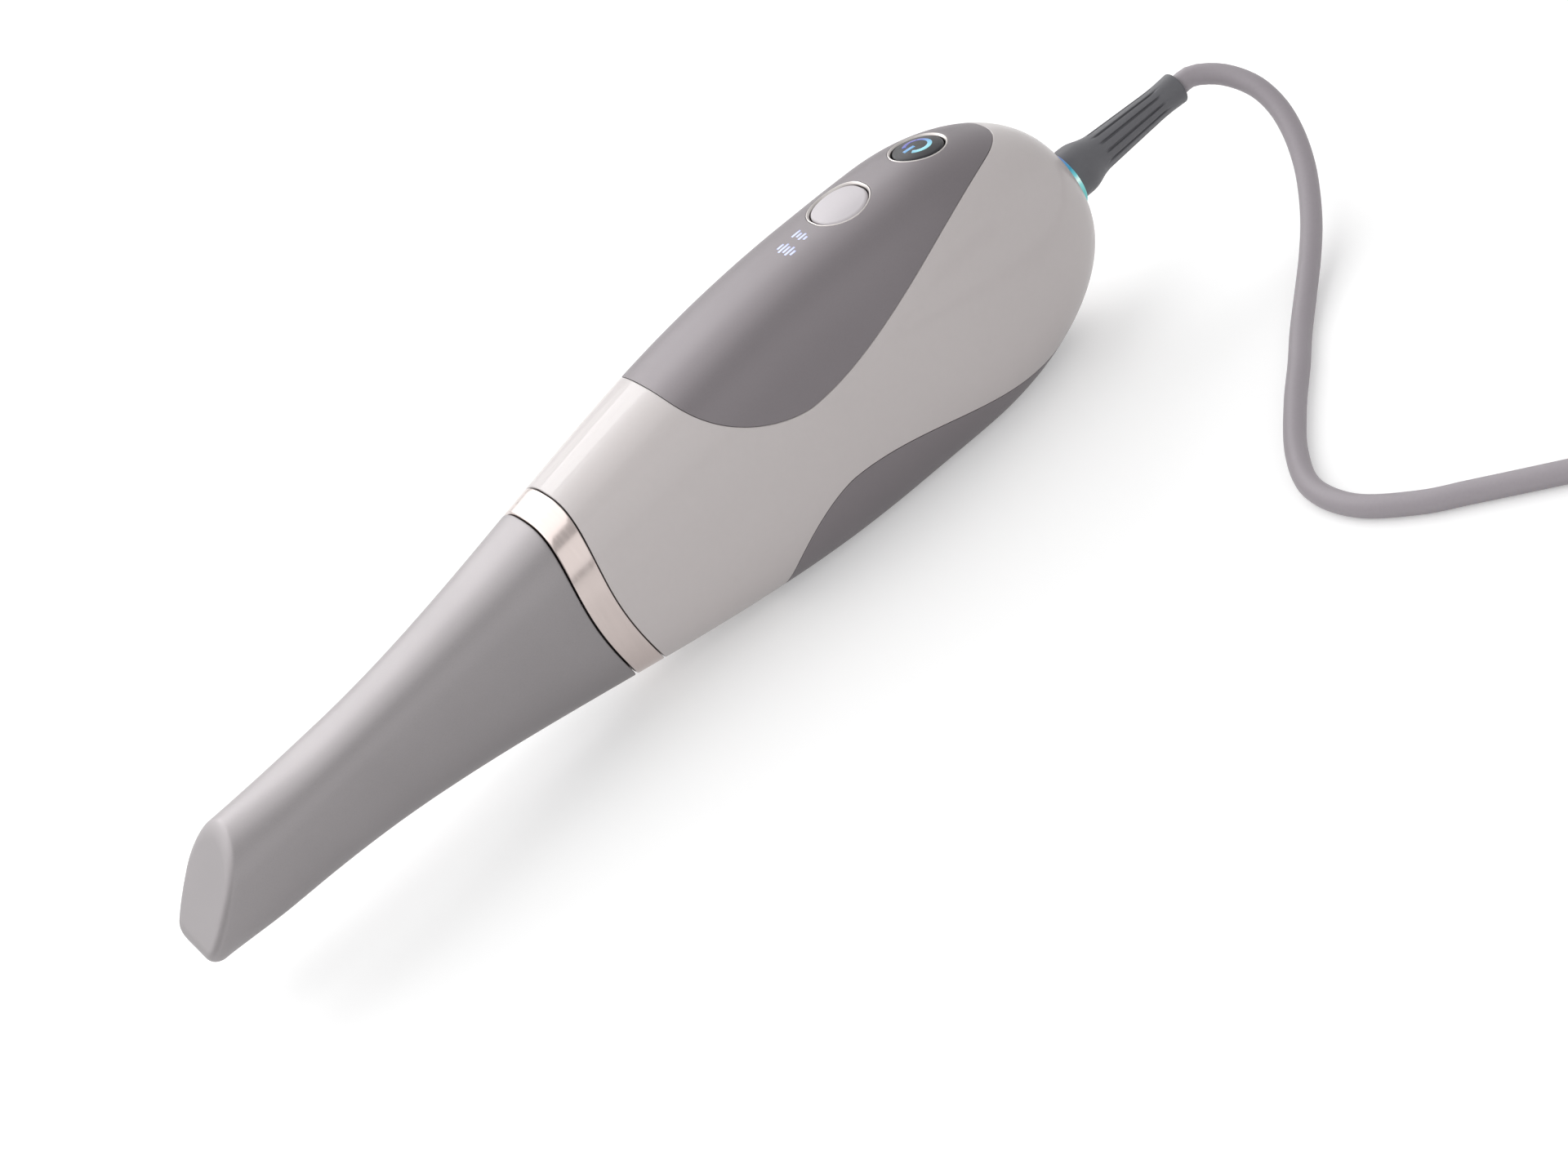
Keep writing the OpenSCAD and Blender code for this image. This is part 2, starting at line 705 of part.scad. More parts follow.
module bosses(x) {
    top = -ridge_drop(x, (boss_step + boss_d) / 2) - root_cover;
    for (s = [-1, 1]) translate([0, s * boss_step / 2, button_board_top]) difference() {
        cylinder(d = boss_d, h = top - button_board_top);
        translate([0, 0, -1]) cylinder(d = screw_d + 2 * fit_gap, h = board_screw_deep + 1);
    }
}

board_screw_deep = 4;

post_sole = 1;

top_stations = concat(corner_stations(cover_front + seam_gap), side_stations(bottom_rear_x(0)),
    all_but_last(rear_stations(bottom_rear_x(0), top_rear_x(seam_gap))));

module top_cover() {
    color([0.55, 0.53, 0.54]) place() {
        difference() {
            strip_skin([for (x = top_stations) let (a = top_edge(x, seam_gap)) cover_ring(x, a, 180 - a)],
                cover_point(cover_front + seam_gap, 90), cover_point(top_rear_x(seam_gap), 90));
            on_ridge(scan_x) translate([0, 0, -5]) stadium(scan_len + button_hole, scan_more, 10);
            on_ridge(power_x) translate([0, 0, -5]) cylinder(d = power_d + button_hole, h = 10);
            for (i = [0, 1]) on_ridge(light_x + i * light_step) translate([0, 0, -5])
                cylinder(d = light_d + 2 * fit_gap, h = 10);
        }
        on_ridge(scan_x) bosses(scan_x);
        on_ridge(power_x) bosses(power_x);
    }
}

// Distances of the main board from the covers' front, and of the posts from its ends
main_board_in = 3.5;
post_in = 6;
main_board_x = cover_front + main_board_in;
post_x = [main_board_x + post_in, main_board_x + main_board_len - post_in];
post_y = 10.5;

function post_foot(x) = belly_rise(x, post_y + post_d / 2) + root_cover;

module posts_at() {
    for (x = post_x, s = [-1, 1]) translate([x, s * post_y, 0]) children();
}

bottom_stations = concat(corner_stations(cover_front + seam_gap),
    all_but_last(side_stations(bottom_rear_x(seam_gap))));

module bottom_cover() {
    color([0.55, 0.53, 0.54]) place() {
        strip_skin([for (x = bottom_stations)
            let (a = bottom_edge(x, seam_gap)) cover_ring(x, 180 + a, 360 - a)],
            cover_point(cover_front + seam_gap, 270), cover_point(bottom_rear_x(seam_gap), 270));
        for (x = post_x, s = [-1, 1]) translate([x, s * post_y, post_foot(x)]) difference() {
            cylinder(d = post_d, h = main_board_z - post_foot(x));
            translate([0, 0, post_sole]) cylinder(d = screw_d + 2 * fit_gap, h = main_board_z);
        }
    }
}

// Chassis
bench_front_z = bench_z + bench_wall_h;

module flange_places() {
    for (y = [-9, 9], z = [-8, 8]) along(bench_x) translate([z, y, 0]) children();
}

flange_screw_deep = 6;

module optical_bench() {
    color([0.7, 0.71, 0.72]) place() difference() {
        union() {
            box(bench_len, bench_w, bench_t, [bench_x, 0, bench_z - bench_t]);
            box(bench_t, bench_w, bench_wall_h, [bench_x, 0, bench_z]);
            box(bench_t, bench_w, bench_wall_h, [bench_x + bench_len - bench_t, 0, bench_z]);
            posts_at() translate([0, 0, main_board_z + board_t])
                cylinder(d = post_d, h = bench_z - bench_t - main_board_z - board_t);
        }
        along(bench_x - 1) cylinder(r = barrel_r + fit_gap, h = bench_t + 2);
        flange_places() translate([0, 0, -1]) cylinder(d = screw_d + 2 * fit_gap, h = bench_t + 2);
        posts_at() cylinder(d = screw_d + 2 * fit_gap, h = bench_z + 1);
    }
}

// A screw with its head on +Z above the origin and its shank below
module screw(shank) {
    cylinder(d = 1.9 * screw_d, h = screw_head);
    translate([0, 0, -shank]) cylinder(d = screw_d, h = shank);
}

module flange_screws() {
    color([0.6, 0.6, 0.62]) place() flange_places() translate([0, 0, bench_t])
        screw(bench_t + flange_screw_deep - 1);
}

chassis_screw_deep = 2;

module chassis_screws() {
    color([0.6, 0.6, 0.62]) place() posts_at() translate([0, 0, bench_z])
        screw(bench_z - main_board_z + chassis_screw_deep);
}

prism_z = axis_z - prism_side / 2;

module prism_mount() {
    color([0.2, 0.2, 0.22]) place()
        box(prism_side + 2, prism_side + 2, prism_z - bench_z, [prism_x - 1, 0, bench_z]);
}

module beam_splitter() {
    color([0.75, 0.87, 0.9, 0.6]) place()
        box(prism_side, prism_side, prism_side, [prism_x, 0, prism_z]);
}

optic_gap = 1;
proj_lens_x = prism_x + prism_side + optic_gap;
sink_end = bench_x + bench_len - bench_t - sink_gap;
proj_lens_len = (sink_end - proj_lens_x) * proj_lens_share;
proj_len = (sink_end - proj_lens_x) * proj_share;
source_len = (sink_end - proj_lens_x) * source_share;
proj_x = proj_lens_x + proj_lens_len;
source_x = proj_x + proj_len;
sink_x = source_x + source_len;
sink_len = sink_end - sink_x;
proj_h = 2 * (axis_z - bench_z);

module projector_lens() {
    color([0.14, 0.14, 0.15]) place() along(proj_lens_x) difference() {
        cylinder(d = proj_lens_d, h = proj_lens_len);
        translate([0, 0, -1]) cylinder(d = proj_lens_d - 4, h = 3);
    }
}

module projector_case() {
    color([0.24, 0.25, 0.27]) place() box(proj_len, proj_w, proj_h, [proj_x, 0, bench_z]);
}

module light_source() {
    color([0.85, 0.83, 0.7]) place()
        box(source_len, proj_w - 4, proj_h - 3, [source_x, 0, bench_z]);
}

sink_base = 3;

module heat_sink() {
    fin_step = (proj_w - fin_t) / (fin_count - 1);
    color([0.5, 0.51, 0.53]) place() {
        box(sink_len, proj_w, sink_base, [sink_x, 0, bench_z]);
        box(fin_t, proj_w, proj_h, [sink_x, 0, bench_z]);
        for (i = [0 : fin_count - 1])
            box(sink_len, fin_t, proj_h, [sink_x, (fin_t - proj_w) / 2 + i * fin_step, bench_z]);
    }
}

camera_x = prism_x + prism_side / 2;
camera_z = prism_z + prism_side + 0.5;
camera_board_z = bench_front_z;
sensor_z = camera_board_z - sensor_h;

module camera_lens() {
    color([0.14, 0.14, 0.15]) place() translate([camera_x, 0, camera_z])
        cylinder(d = camera_d, h = sensor_z - camera_z);
}

module camera_sensor() {
    color([0.2, 0.2, 0.22]) place()
        box(sensor_side, sensor_side, sensor_h, [camera_x - sensor_side / 2, 0, sensor_z]);
}

module camera_board() {
    color([0.12, 0.4, 0.26]) place()
        box(camera_x + prism_side / 2 - bench_x, prism_side + 6, board_t,
            [bench_x, 0, camera_board_z]);
}

module main_board() {
    color([0.12, 0.4, 0.26]) place() difference() {
        box(main_board_len, main_board_w, board_t, [main_board_x, 0, main_board_z]);
        posts_at() cylinder(d = screw_d + 2 * fit_gap, h = bench_z);
    }
}

link_z = axis_z - link_board_h / 2;

module link_board() {
    color([0.12, 0.4, 0.26]) place()
        box(board_t, link_board_w, link_board_h, [link_board_x, 0, link_z]);
}

link_w = 12;
link_h = 8;

module link_connector() {
    color([0.88, 0.87, 0.84]) place()
        box(link_len, link_w, link_h, [link_board_x + board_t, 0, axis_z - link_h / 2]);
}

ribbon_t = 0.3;
ribbon_w = 8;
ribbon_lap = 5;
ribbon_rise = 2.5;

module board_ribbon() {
    foot = main_board_z + board_t;
    back = link_board_x + board_t;
    from = main_board_x + main_board_len - ribbon_lap;
    color([0.75, 0.5, 0.2]) place() {
        box(back + ribbon_t - from, ribbon_w, ribbon_t, [from, 0, foot]);
        box(ribbon_t, ribbon_w, link_z + ribbon_rise - foot, [back, 0, foot]);
    }
}

// Buttons
module scan_button() {
    color([0.87, 0.85, 0.85]) place() on_ridge(scan_x) {
        translate([0, 0, flange_top]) stadium(scan_len, scan_more, cap_t);
        translate([0, 0, plunger_top]) stadium(scan_len + 2 * flange_w, scan_more, flange_t);
    }
}

module plunger() {
    translate([0, 0, plunger_top - plunger_len]) cylinder(d = plunger_d, h = plunger_len);
}

module scan_plunger() {
    color([0.2, 0.2, 0.2]) place() on_ridge(scan_x) plunger();
}

bezel_h = 1.4;
bezel_proud = 0.2;

module scan_bezel() {
    gap = 2 * cap_gap;
    color([0.8, 0.8, 0.8]) place() on_ridge(scan_x) translate([0, 0, bezel_proud - bezel_h])
        difference() {
            stadium(scan_len + gap + 2 * bezel_w, scan_more, bezel_h);
            translate([0, 0, -1]) stadium(scan_len + gap, scan_more, bezel_h + 2);
        }
}

plunger_room = 0.25;

module switch_case() {
    translate([0, 0, button_board_top]) difference() {
        translate([-switch_side / 2, -switch_side / 2, 0]) cube([switch_side, switch_side, switch_h]);
        translate([0, 0, switch_sole]) cylinder(d = plunger_d + 2 * plunger_room, h = switch_h);
    }
}

module scan_switch() {
    color([0.3, 0.3, 0.31]) place() on_ridge(scan_x) switch_case();
}

module button_board() {
    translate([0, 0, button_board_top - board_t]) difference() {
        translate([-button_board_len / 2, -button_board_w / 2, 0])
            cube([button_board_len, button_board_w, board_t]);
        for (s = [-1, 1]) translate([0, s * boss_step / 2, -1])
            cylinder(d = screw_d + 2 * fit_gap, h = board_t + 2);
    }
}

module scan_board() {
    color([0.12, 0.4, 0.26]) place() on_ridge(scan_x) button_board();
}

module board_screws() {
    color([0.6, 0.6, 0.62]) place() for (x = [scan_x, power_x], s = [-1, 1]) on_ridge(x)
        translate([0, s * boss_step / 2, button_board_top - board_t]) rotate([180, 0, 0])
            screw(board_t + board_screw_deep - 1);
}

symbol_r = 2.6;
symbol_w = 0.7;
symbol_deep = 0.5;
symbol_gap = 0.05;
// Half of the gap in the power symbol's ring, in degrees
symbol_break = 35;

// Ring broken at one side with a bar in the break, its bar towards -X
module power_mark(grow, h) {
    r = symbol_r;
    w = symbol_w + 2 * grow;
    rotate([0, 0, symbol_break - 180]) rotate_extrude(angle = 360 - 2 * symbol_break)
        translate([r - w / 2, 0]) square([w, h]);
    translate([-r - w / 2, -w / 2, 0]) cube([r + w / 2, w, h]);
}

module power_button() {
    color([0.2, 0.2, 0.22]) place() on_ridge(power_x) difference() {
        union() {
            translate([0, 0, flange_top]) cylinder(d = power_d, h = cap_t);
            translate([0, 0, plunger_top]) cylinder(d = power_d + 2 * flange_w, h = flange_t);
        }
        translate([0, 0, cap_proud - symbol_deep]) power_mark(symbol_gap, 2);
    }
}

module power_symbol() {
    color([0.35, 0.7, 0.95]) place() on_ridge(power_x)
        translate([0, 0, cap_proud - symbol_deep]) power_mark(0, symbol_deep);
}

module power_plunger() {
    color([0.2, 0.2, 0.2]) place() on_ridge(power_x) plunger();
}

module power_bezel() {
    inner = power_d + 2 * cap_gap;
    color([0.8, 0.8, 0.8]) place() on_ridge(power_x) translate([0, 0, bezel_proud - bezel_h])
        difference() {
            cylinder(d = inner + 2 * bezel_w, h = bezel_h);
            translate([0, 0, -1]) cylinder(d = inner, h = bezel_h + 2);
        }
}

module power_switch() {
    color([0.3, 0.3, 0.31]) place() on_ridge(power_x) switch_case();
}

module power_board() {
    color([0.12, 0.4, 0.26]) place() on_ridge(power_x) button_board();
}

module indicator_lights() {
    color([0.75, 0.8, 0.98]) place() for (i = [0, 1]) on_ridge(light_x + i * light_step)
        translate([0, 0, -light_len]) cylinder(d = light_d, h = light_len);
}

// Cable end of the housing
rear_hole_r = rear_r - wall;
sleeve_r = rear_hole_r - fit_gap;
neck_r = sleeve_r - led_wall - fit_gap;

module light_ring() {
    color([0.3, 0.8, 0.95]) place() along(body_len) difference() {
        union() {
            cylinder(r = rear_r - fit_gap, h = led_rim);
            translate([0, 0, -led_sleeve]) cylinder(r = sleeve_r, h = led_sleeve);
        }
        translate([0, 0, -led_sleeve - 1]) cylinder(r = neck_r + fit_gap, h = led_sleeve + led_rim + 2);
    }
}

module light_ring_board() {
    color([0.12, 0.4, 0.26]) place() along(led_board_x) difference() {
        cylinder(r = led_board_r, h = board_t);
        translate([0, 0, -1]) cylinder(r = neck_r + fit_gap, h = board_t + 2);
    }
}

nut_r = 7;

module gland_nut() {
    color([0.65, 0.65, 0.67]) place() along(nut_x) difference() {
        cylinder(r = nut_r, h = nut_len, $fn = 6);
        translate([0, 0, -1]) cylinder(r = neck_r + fit_gap, h = nut_len + 2);
    }
}

// Distances along the strain relief: its foot, its shoulder and its waist
foot_t = 4.3;
stem_from = 8.6;
stem_to = 28;
groove_in = 1;
groove_tilt = atan((relief_stem_r - relief_waist_r) / (stem_to - stem_from));
lead_r = cord_r + fit_gap;

module strain_relief() {
    neck = led_face - nut_x;
    color([0.42, 0.42, 0.43]) place() along(led_face) difference() {
        rotate_extrude() polygon([[lead_r, -neck], [neck_r, -neck], [neck_r, 0],
            [relief_foot_r, 0], [relief_foot_r, foot_t], [relief_stem_r, stem_from],
            [relief_waist_r, stem_to], [relief_end_r, relief_len], [lead_r, relief_len]]);
        for (i = [0 : groove_count - 1]) rotate([0, 0, i * 360 / groove_count])
            translate([relief_stem_r - groove_deep, 0, stem_from]) rotate([0, -groove_tilt, 0])
                box(relief_foot_r, groove_w, stem_to - stem_from - 2 * groove_in, [0, 0, groove_in]);
    }
}

lead_from = link_board_x + board_t + link_len;

module cable_lead() {
    color([0.6, 0.59, 0.58]) place() along(lead_from) cylinder(r = cord_r, h = relief_end - lead_from);
}

// Cord: its route from the strain relief, as steps along X and Y and the share of the axis height
cord_route = [[0, 0, 1], [3.8, 0, 1], [7.2, -2.6, 0.965], [9.8, -7, 0.905], [11.2, -13, 0.81],
    [10.7, -19, 0.68], [8.3, -25, 0.54], [4.4, -31, 0.395], [-0.4, -36.5, 0.275], [-6, -42, 0.17],
    [-12.8, -48, 0.09], [-21, -55, 0.03], [-29, -62.3, 0], [-37.2, -71, 0], [-47, -81, 0],
    [-57, -93, 0], [-63, -105, 0], [-62.5, -118, 0], [-56, -130, 0], [-49, -138, 0],
    [-40, -148, 0], [-30, -159, 0], [-20, -170, 0]];
coil_start = [-11, -180];
// Direction in which the cord enters the coil and leaves it, in degrees
coil_heading = -48;
cord_sides = 10;
coil_sides = 6;
coil_rings = 24;
coil_layers = 4;
// The tail's steps from the coil to the plug: distance and share of the fall
tail_route = [[0, 1], [6, 1], [18, 0.86], [32, 0.5], [46, 0.14], [58, 0], [66, 0]];

cord_exit = [relief_end - middle_x, 0, axis_z];
coil_step = cord_d + coil_gap;
coil_z = tie_t + tie_gap + cord_r;
heading = [cos(coil_heading), sin(coil_heading), 0];
coil_from = [cord_exit.x + coil_start.x, coil_start.y, coil_z];
coil_middle = coil_from + cord_d * heading + coil_r * [-heading.y, heading.x, 0];

cord_points = concat(
    [for (p = cord_route) [cord_exit.x + p.x, p.y, mix(cord_r, cord_exit.z, p.z)]],
    [coil_from]);

function coil_height(t) = coil_z + coil_step * ([for (k = [1 : coil_layers - 1])
    smooth((t - k * coil_turns) * 2 + 0.5)] * [for (k = [1 : coil_layers - 1]) 1]);

// A point of the coil after a number of turns: in and out again, and up a layer at each reversal
function coil_point(t) = let (
    way = abs(t % (2 * coil_turns) - coil_turns),
    r = coil_r - coil_step * (coil_turns - way),
    a = coil_heading - 90 + 360 * t
) [coil_middle.x + r * cos(a), coil_middle.y + r * sin(a), coil_height(t)];

coil_wound = [for (i = [0 : coil_layers * coil_turns * coil_rings]) coil_point(i / coil_rings)];
coil_end = coil_wound[len(coil_wound) - 1] + cord_d * heading;
coil_points = concat([coil_from], coil_wound, [coil_end]);

plug_z = grip_h / 2;
tail_points = [for (p = tail_route) let (q = coil_end + p[0] * heading)
    [q.x, q.y, mix(plug_z, coil_end.z, p[1])]];
plug_at = tail_points[len(tail_points) - 1];

// Least gap between turns, measured between points at least half a turn apart
coil_least_gap = min([for (i = [0 : len(coil_wound) - 1], j = [i + coil_rings / 2 : 1 : len(coil_wound) - 1])
    norm(coil_wound[i] - coil_wound[j])]) - cord_d;
echo(str("least gap between the coil's turns, mm: ", coil_least_gap));

function unit(v) = v / norm(v);

// Rings of a tube along points, square to given directions at both ends
function tube_rings(points, r, sides, first, last) = let (m = len(points) - 1) [
    for (i = [0 : m]) let (
        dir = i == 0 ? first : i == m ? last : unit(points[i + 1] - points[i - 1]),
        across = unit(cross(dir, [0, 0, 1])),
        up = cross(across, dir)
    ) [for (j = [0 : sides - 1]) let (a = j * 360 / sides - 90)
        points[i] + r * (cos(a) * across + sin(a) * up)]];

module cord() {
    color([0.6, 0.59, 0.58]) skin(tube_rings(cord_points, cord_r, cord_sides, [1, 0, 0], heading));
}

module cord_coil() {
    color([0.6, 0.59, 0.58]) skin(tube_rings(coil_points, cord_r, coil_sides, heading, heading));
}

module cord_tail() {
    color([0.6, 0.59, 0.58]) skin(tube_rings(tail_points, cord_r, cord_sides, heading, heading));
}

// Where round the coil the tie sits, from the coil's start
tie_turn = 90;

module cord_tie() {
    inner_r = coil_r - coil_turns * coil_step - cord_r - tie_gap;
    deep = coil_turns * coil_step + cord_d + 2 * tie_gap;
    high = (coil_layers - 1) * coil_step + cord_d + 2 * tie_gap;
    color([0.15, 0.15, 0.16]) translate([coil_middle.x, coil_middle.y, 0])
        rotate([0, 0, coil_heading - 90 + tie_turn]) difference() {
            box(deep + 2 * tie_t, tie_w, high + 2 * tie_t, [inner_r - tie_t, 0, 0]);
            box(deep, tie_w + 2, high, [inner_r, 0, tie_t]);
        }
}

module at_plug() {
    translate(plug_at) rotate([0, 0, coil_heading]) children();
}

grip_nub = 6;
grip_round = 2;

module plug_grip() {
    color([0.3, 0.3, 0.31]) at_plug() union() {
        rotate([0, 90, 0]) cylinder(r = plug_z - 0.4, h = grip_nub + 1);
        translate([grip_nub, 0, -grip_h / 2])
            rounded_slot(grip_len - grip_nub, grip_w, grip_h, grip_round);
    }
}

module plug_shell() {
    color([0.78, 0.78, 0.79]) at_plug() translate([grip_len, 0, 0]) difference() {
        translate([0, -shell_w / 2, -shell_h / 2]) cube([shell_len, shell_w, shell_h]);
        translate([-1, shell_wall - shell_w / 2, shell_wall - shell_h / 2])
            cube([shell_len + 2, shell_w - 2 * shell_wall, shell_h - 2 * shell_wall]);
    }
}

tongue_gap = 0.6;
tongue_t = 1.8;

module plug_tongue() {
    w = shell_w - 2 * (shell_wall + tongue_gap);
    color([0.2, 0.4, 0.75]) at_plug()
        translate([grip_len, -w / 2, shell_h / 2 - shell_wall - tongue_t - 0.05])
            cube([shell_len - 1, w, tongue_t]);
}

tip_shell();
tip_mirror();
collar_ring();
nose();
nose_window();
window_seal();
objective_barrel();
objective_lenses();
housing();
top_cover();
bottom_cover();
optical_bench();
prism_mount();
beam_splitter();
projector_lens();
projector_case();
light_source();
heat_sink();
camera_lens();
camera_sensor();
camera_board();
main_board();
link_board();
link_connector();
board_ribbon();
flange_screws();
chassis_screws();
board_screws();
scan_button();
scan_plunger();
scan_bezel();
scan_switch();
scan_board();
power_button();
power_symbol();
power_plunger();
power_bezel();
power_switch();
power_board();
indicator_lights();
light_ring();
light_ring_board();
gland_nut();
strain_relief();
cable_lead();
cord();
cord_coil();
cord_tail();
cord_tie();
plug_grip();
plug_shell();
plug_tongue();
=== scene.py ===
"""Looks of a cabled intraoral scanner handpiece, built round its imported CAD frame.

Shapes are worked out in millimetres: x runs from the tip's zero point, just behind its end, to the
cable, y away from the viewer and z up from the belly. The last step turns them into metres in the
frame's place.
"""

import json
import math

import bmesh
import bpy
import numpy as np
from mathutils import Matrix, Vector, kdtree


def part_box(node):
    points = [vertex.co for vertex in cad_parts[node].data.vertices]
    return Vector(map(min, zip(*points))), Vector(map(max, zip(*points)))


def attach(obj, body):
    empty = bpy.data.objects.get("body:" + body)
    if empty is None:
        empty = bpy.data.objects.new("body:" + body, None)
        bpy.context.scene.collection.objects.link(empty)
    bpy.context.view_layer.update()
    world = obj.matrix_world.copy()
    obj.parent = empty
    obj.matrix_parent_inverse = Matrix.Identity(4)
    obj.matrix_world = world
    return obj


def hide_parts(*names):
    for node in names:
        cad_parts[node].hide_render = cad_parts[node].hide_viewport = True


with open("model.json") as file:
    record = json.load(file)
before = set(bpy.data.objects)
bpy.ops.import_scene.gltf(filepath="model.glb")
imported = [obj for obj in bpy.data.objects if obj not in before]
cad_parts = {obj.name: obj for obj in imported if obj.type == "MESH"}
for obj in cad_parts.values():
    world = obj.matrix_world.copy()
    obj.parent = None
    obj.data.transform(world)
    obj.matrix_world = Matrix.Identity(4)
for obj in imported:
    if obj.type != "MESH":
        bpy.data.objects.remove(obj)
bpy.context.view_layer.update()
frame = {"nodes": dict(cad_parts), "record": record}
scene = bpy.context.scene
nodes = frame["nodes"]

MM = 0.001
ORIGIN_X = 139.15  # the frame's origin, from the zero point
AXIS_Z = 29.4
BODY_LEN = 246.0
LED_FACE = 247.4


def to_frame(points):
    """Millimetres from the zero point to metres in the frame."""
    return (np.asarray(points, float) - [ORIGIN_X, 0, 0]) * MM


# Camera, at the photograph's angle

VIEW_TURN, VIEW_RISE, VIEW_ROLL = 16, 33, 31.14
VIEW_AIM, VIEW_AWAY, VIEW_RIGHT, VIEW_UP = np.array([122, 0, 27.4]), 779.85, 30.81, -9.08


def make_camera():
    turn, rise, roll = (math.radians(v) for v in (VIEW_TURN, VIEW_RISE, VIEW_ROLL))
    back = np.array([-math.sin(turn) * math.cos(rise), -math.cos(turn) * math.cos(rise), math.sin(rise)])
    level = np.array([math.cos(turn), -math.sin(turn), 0])
    over = np.cross(back, level)
    right = math.cos(roll) * level - math.sin(roll) * over
    up = math.sin(roll) * level + math.cos(roll) * over
    place = to_frame(VIEW_AIM + VIEW_AWAY * back + VIEW_RIGHT * right + VIEW_UP * up)
    data = bpy.data.cameras.new("camera")
    data.sensor_width = 36
    data.lens = 84.675
    data.clip_start = 0.01
    data.clip_end = 50
    camera = bpy.data.objects.new("camera", data)
    axes = np.array([right, up, back]).T
    camera.matrix_world = Matrix([[*row, p] for row, p in zip(axes, place)] + [[0, 0, 0, 1]])
    scene.collection.objects.link(camera)
    scene.camera = camera


make_camera()


# Meshes


def add_piece(name, points, faces, body, slot, replaced=(), normals=None, mm=True):
    mesh = bpy.data.meshes.new(name)
    mesh.from_pydata((to_frame(points) if mm else np.asarray(points)).tolist(), [], [list(f) for f in faces])
    if normals is None:
        b = bmesh.new()
        b.from_mesh(mesh)
        bmesh.ops.recalc_face_normals(b, faces=b.faces)
        b.to_mesh(mesh)
        b.free()
    mesh.shade_smooth()
    if normals is not None:
        mesh.normals_split_custom_set_from_vertices(np.asarray(normals).tolist())
    piece = bpy.data.objects.new(name, mesh)
    scene.collection.objects.link(piece)
    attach(piece, body)
    if replaced:
        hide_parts(*replaced)
    return piece


def loft(rings, wrap=False):
    """Points and faces of a skin over closed rings of equal size, closed by caps or by joining its ends."""
    m, n = len(rings), len(rings[0])
    points = [p for r in rings for p in r]
    faces = []
    for i in range(m if wrap else m - 1):
        k = (i + 1) % m
        faces += [(i * n + j, k * n + j, k * n + (j + 1) % n, i * n + (j + 1) % n) for j in range(n)]
    if not wrap:
        for start in (0, (m - 1) * n):
            points.append(np.mean(points[start : start + n], axis=0))
            faces += [(start + j, start + (j + 1) % n, len(points) - 1) for j in range(n)]
    return points, faces


def lathe(profile, sides, change=None):
    """Closed rings about the axis from (x, r) pairs, with a change of radius round them if one is given."""
    angles = np.linspace(0, 2 * math.pi, sides, endpoint=False)
    rings = []
    for x, r in profile:
        rr = r + (change(x, r, angles) if change else 0 * angles)
        rings.append(np.stack([0 * angles + x, -rr * np.cos(angles), AXIS_Z + rr * np.sin(angles)], 1))
    return rings


def rounded(corners, radius, steps=5):
    """A polyline of (x, r) corners with its inner corners rounded."""
    corners = [np.array(c, float) for c in corners]
    out = [corners[0]]
    for i in range(1, len(corners) - 1):
        a, b, c = corners[i - 1], corners[i], corners[i + 1]
        rad = radius[i] if hasattr(radius, "__len__") else radius
        cut = min(rad, 0.45 * np.linalg.norm(a - b), 0.45 * np.linalg.norm(c - b))
        p = b + (a - b) / np.linalg.norm(a - b) * cut
        q = b + (c - b) / np.linalg.norm(c - b) * cut
        for t in np.linspace(0, 1, steps + 1):
            out.append((1 - t) ** 2 * p + 2 * t * (1 - t) * b + t * t * q)
    out.append(corners[-1])
    return out


# Outer shape, as in the part's source


def smooth(t):
    c = np.clip(t, 0, 1)
    return c * c * (3 - 2 * c)


def mix(a, b, t):
    return a + (b - a) * t


def dome(x, run):
    u = np.clip((x - BODY_LEN + run) / run, 0, 1)
    return np.sqrt(1 - u * u)


# Heights from the axis and half the width, at the tip, at the widest part and at the rear end
TIP_TOP, TIP_BOTTOM, TIP_SIDE = 9.8, 13.2, 11.4
BODY_TOP, BODY_BOTTOM, BODY_SIDE = 31.4, 30.6, 21.5
REAR_R = 7.2
# The swelling from the tip to the widest part, as shares of the length, and the rear dome's lengths
FLARE_START, SIDE_LAG = 25.0, 15
FLARE_TOP, FLARE_BOTTOM, FLARE_SIDE = 0.66, 0.62, 0.5
DOME_TOP, DOME_BOTTOM, DOME_SIDE = 38.0, 46.0, 52.0
# How square a section is at the tip and at the grip, and at the rounder end of the tip
TOP_EXPS, BOTTOM_EXPS = (2.6, 2.8), (3.4, 3.0)
END_TOP_EXP, END_BOTTOM_EXP = 1.9, 2.7
END_FROM, END_TOP_RUN, END_BOTTOM_RUN = 10, 35, 18
GRIP_FROM, GRIP_RUN = 60, 80
# Places of the seams along the body, how square a cover's front corner is and how far the tip's seam bows
SEAM_X, RING_X, RING_W, HOUSING_X = 100.5, 100.8, 6.3, 107.25
COVER_FRONT, COVER_LOW, COVER_CORNER = 140.5, 164.0, 1.6
BOW, BOW_FROM, BOW_H = 3.2, 60, 20
# The gap that shows at a cover, and the edge's radius on the covers and on the housing
SEAM_SHOWN, SEAM_EDGE, HOUSING_EDGE = 0.05, 0.14, 0.32
# The round lower edge of the tip's end, its reach past the zero point and how far the slant fades
TIP_EDGE_R, TIP_REACH, SLANT_RUN = 3.3, 2.7, 40.0
# The belly's flat lies at the floor, with a soft edge
BELLY_H, BELLY_SOFT = 3, 0.16
EDGE_MID = TIP_EDGE_R - TIP_BOTTOM
FACE_H = EDGE_MID + TIP_EDGE_R * math.sqrt(0.5)


def flare(x, start, end, share):
    return mix(start, end, smooth((x - FLARE_START) / (share * BODY_LEN)))


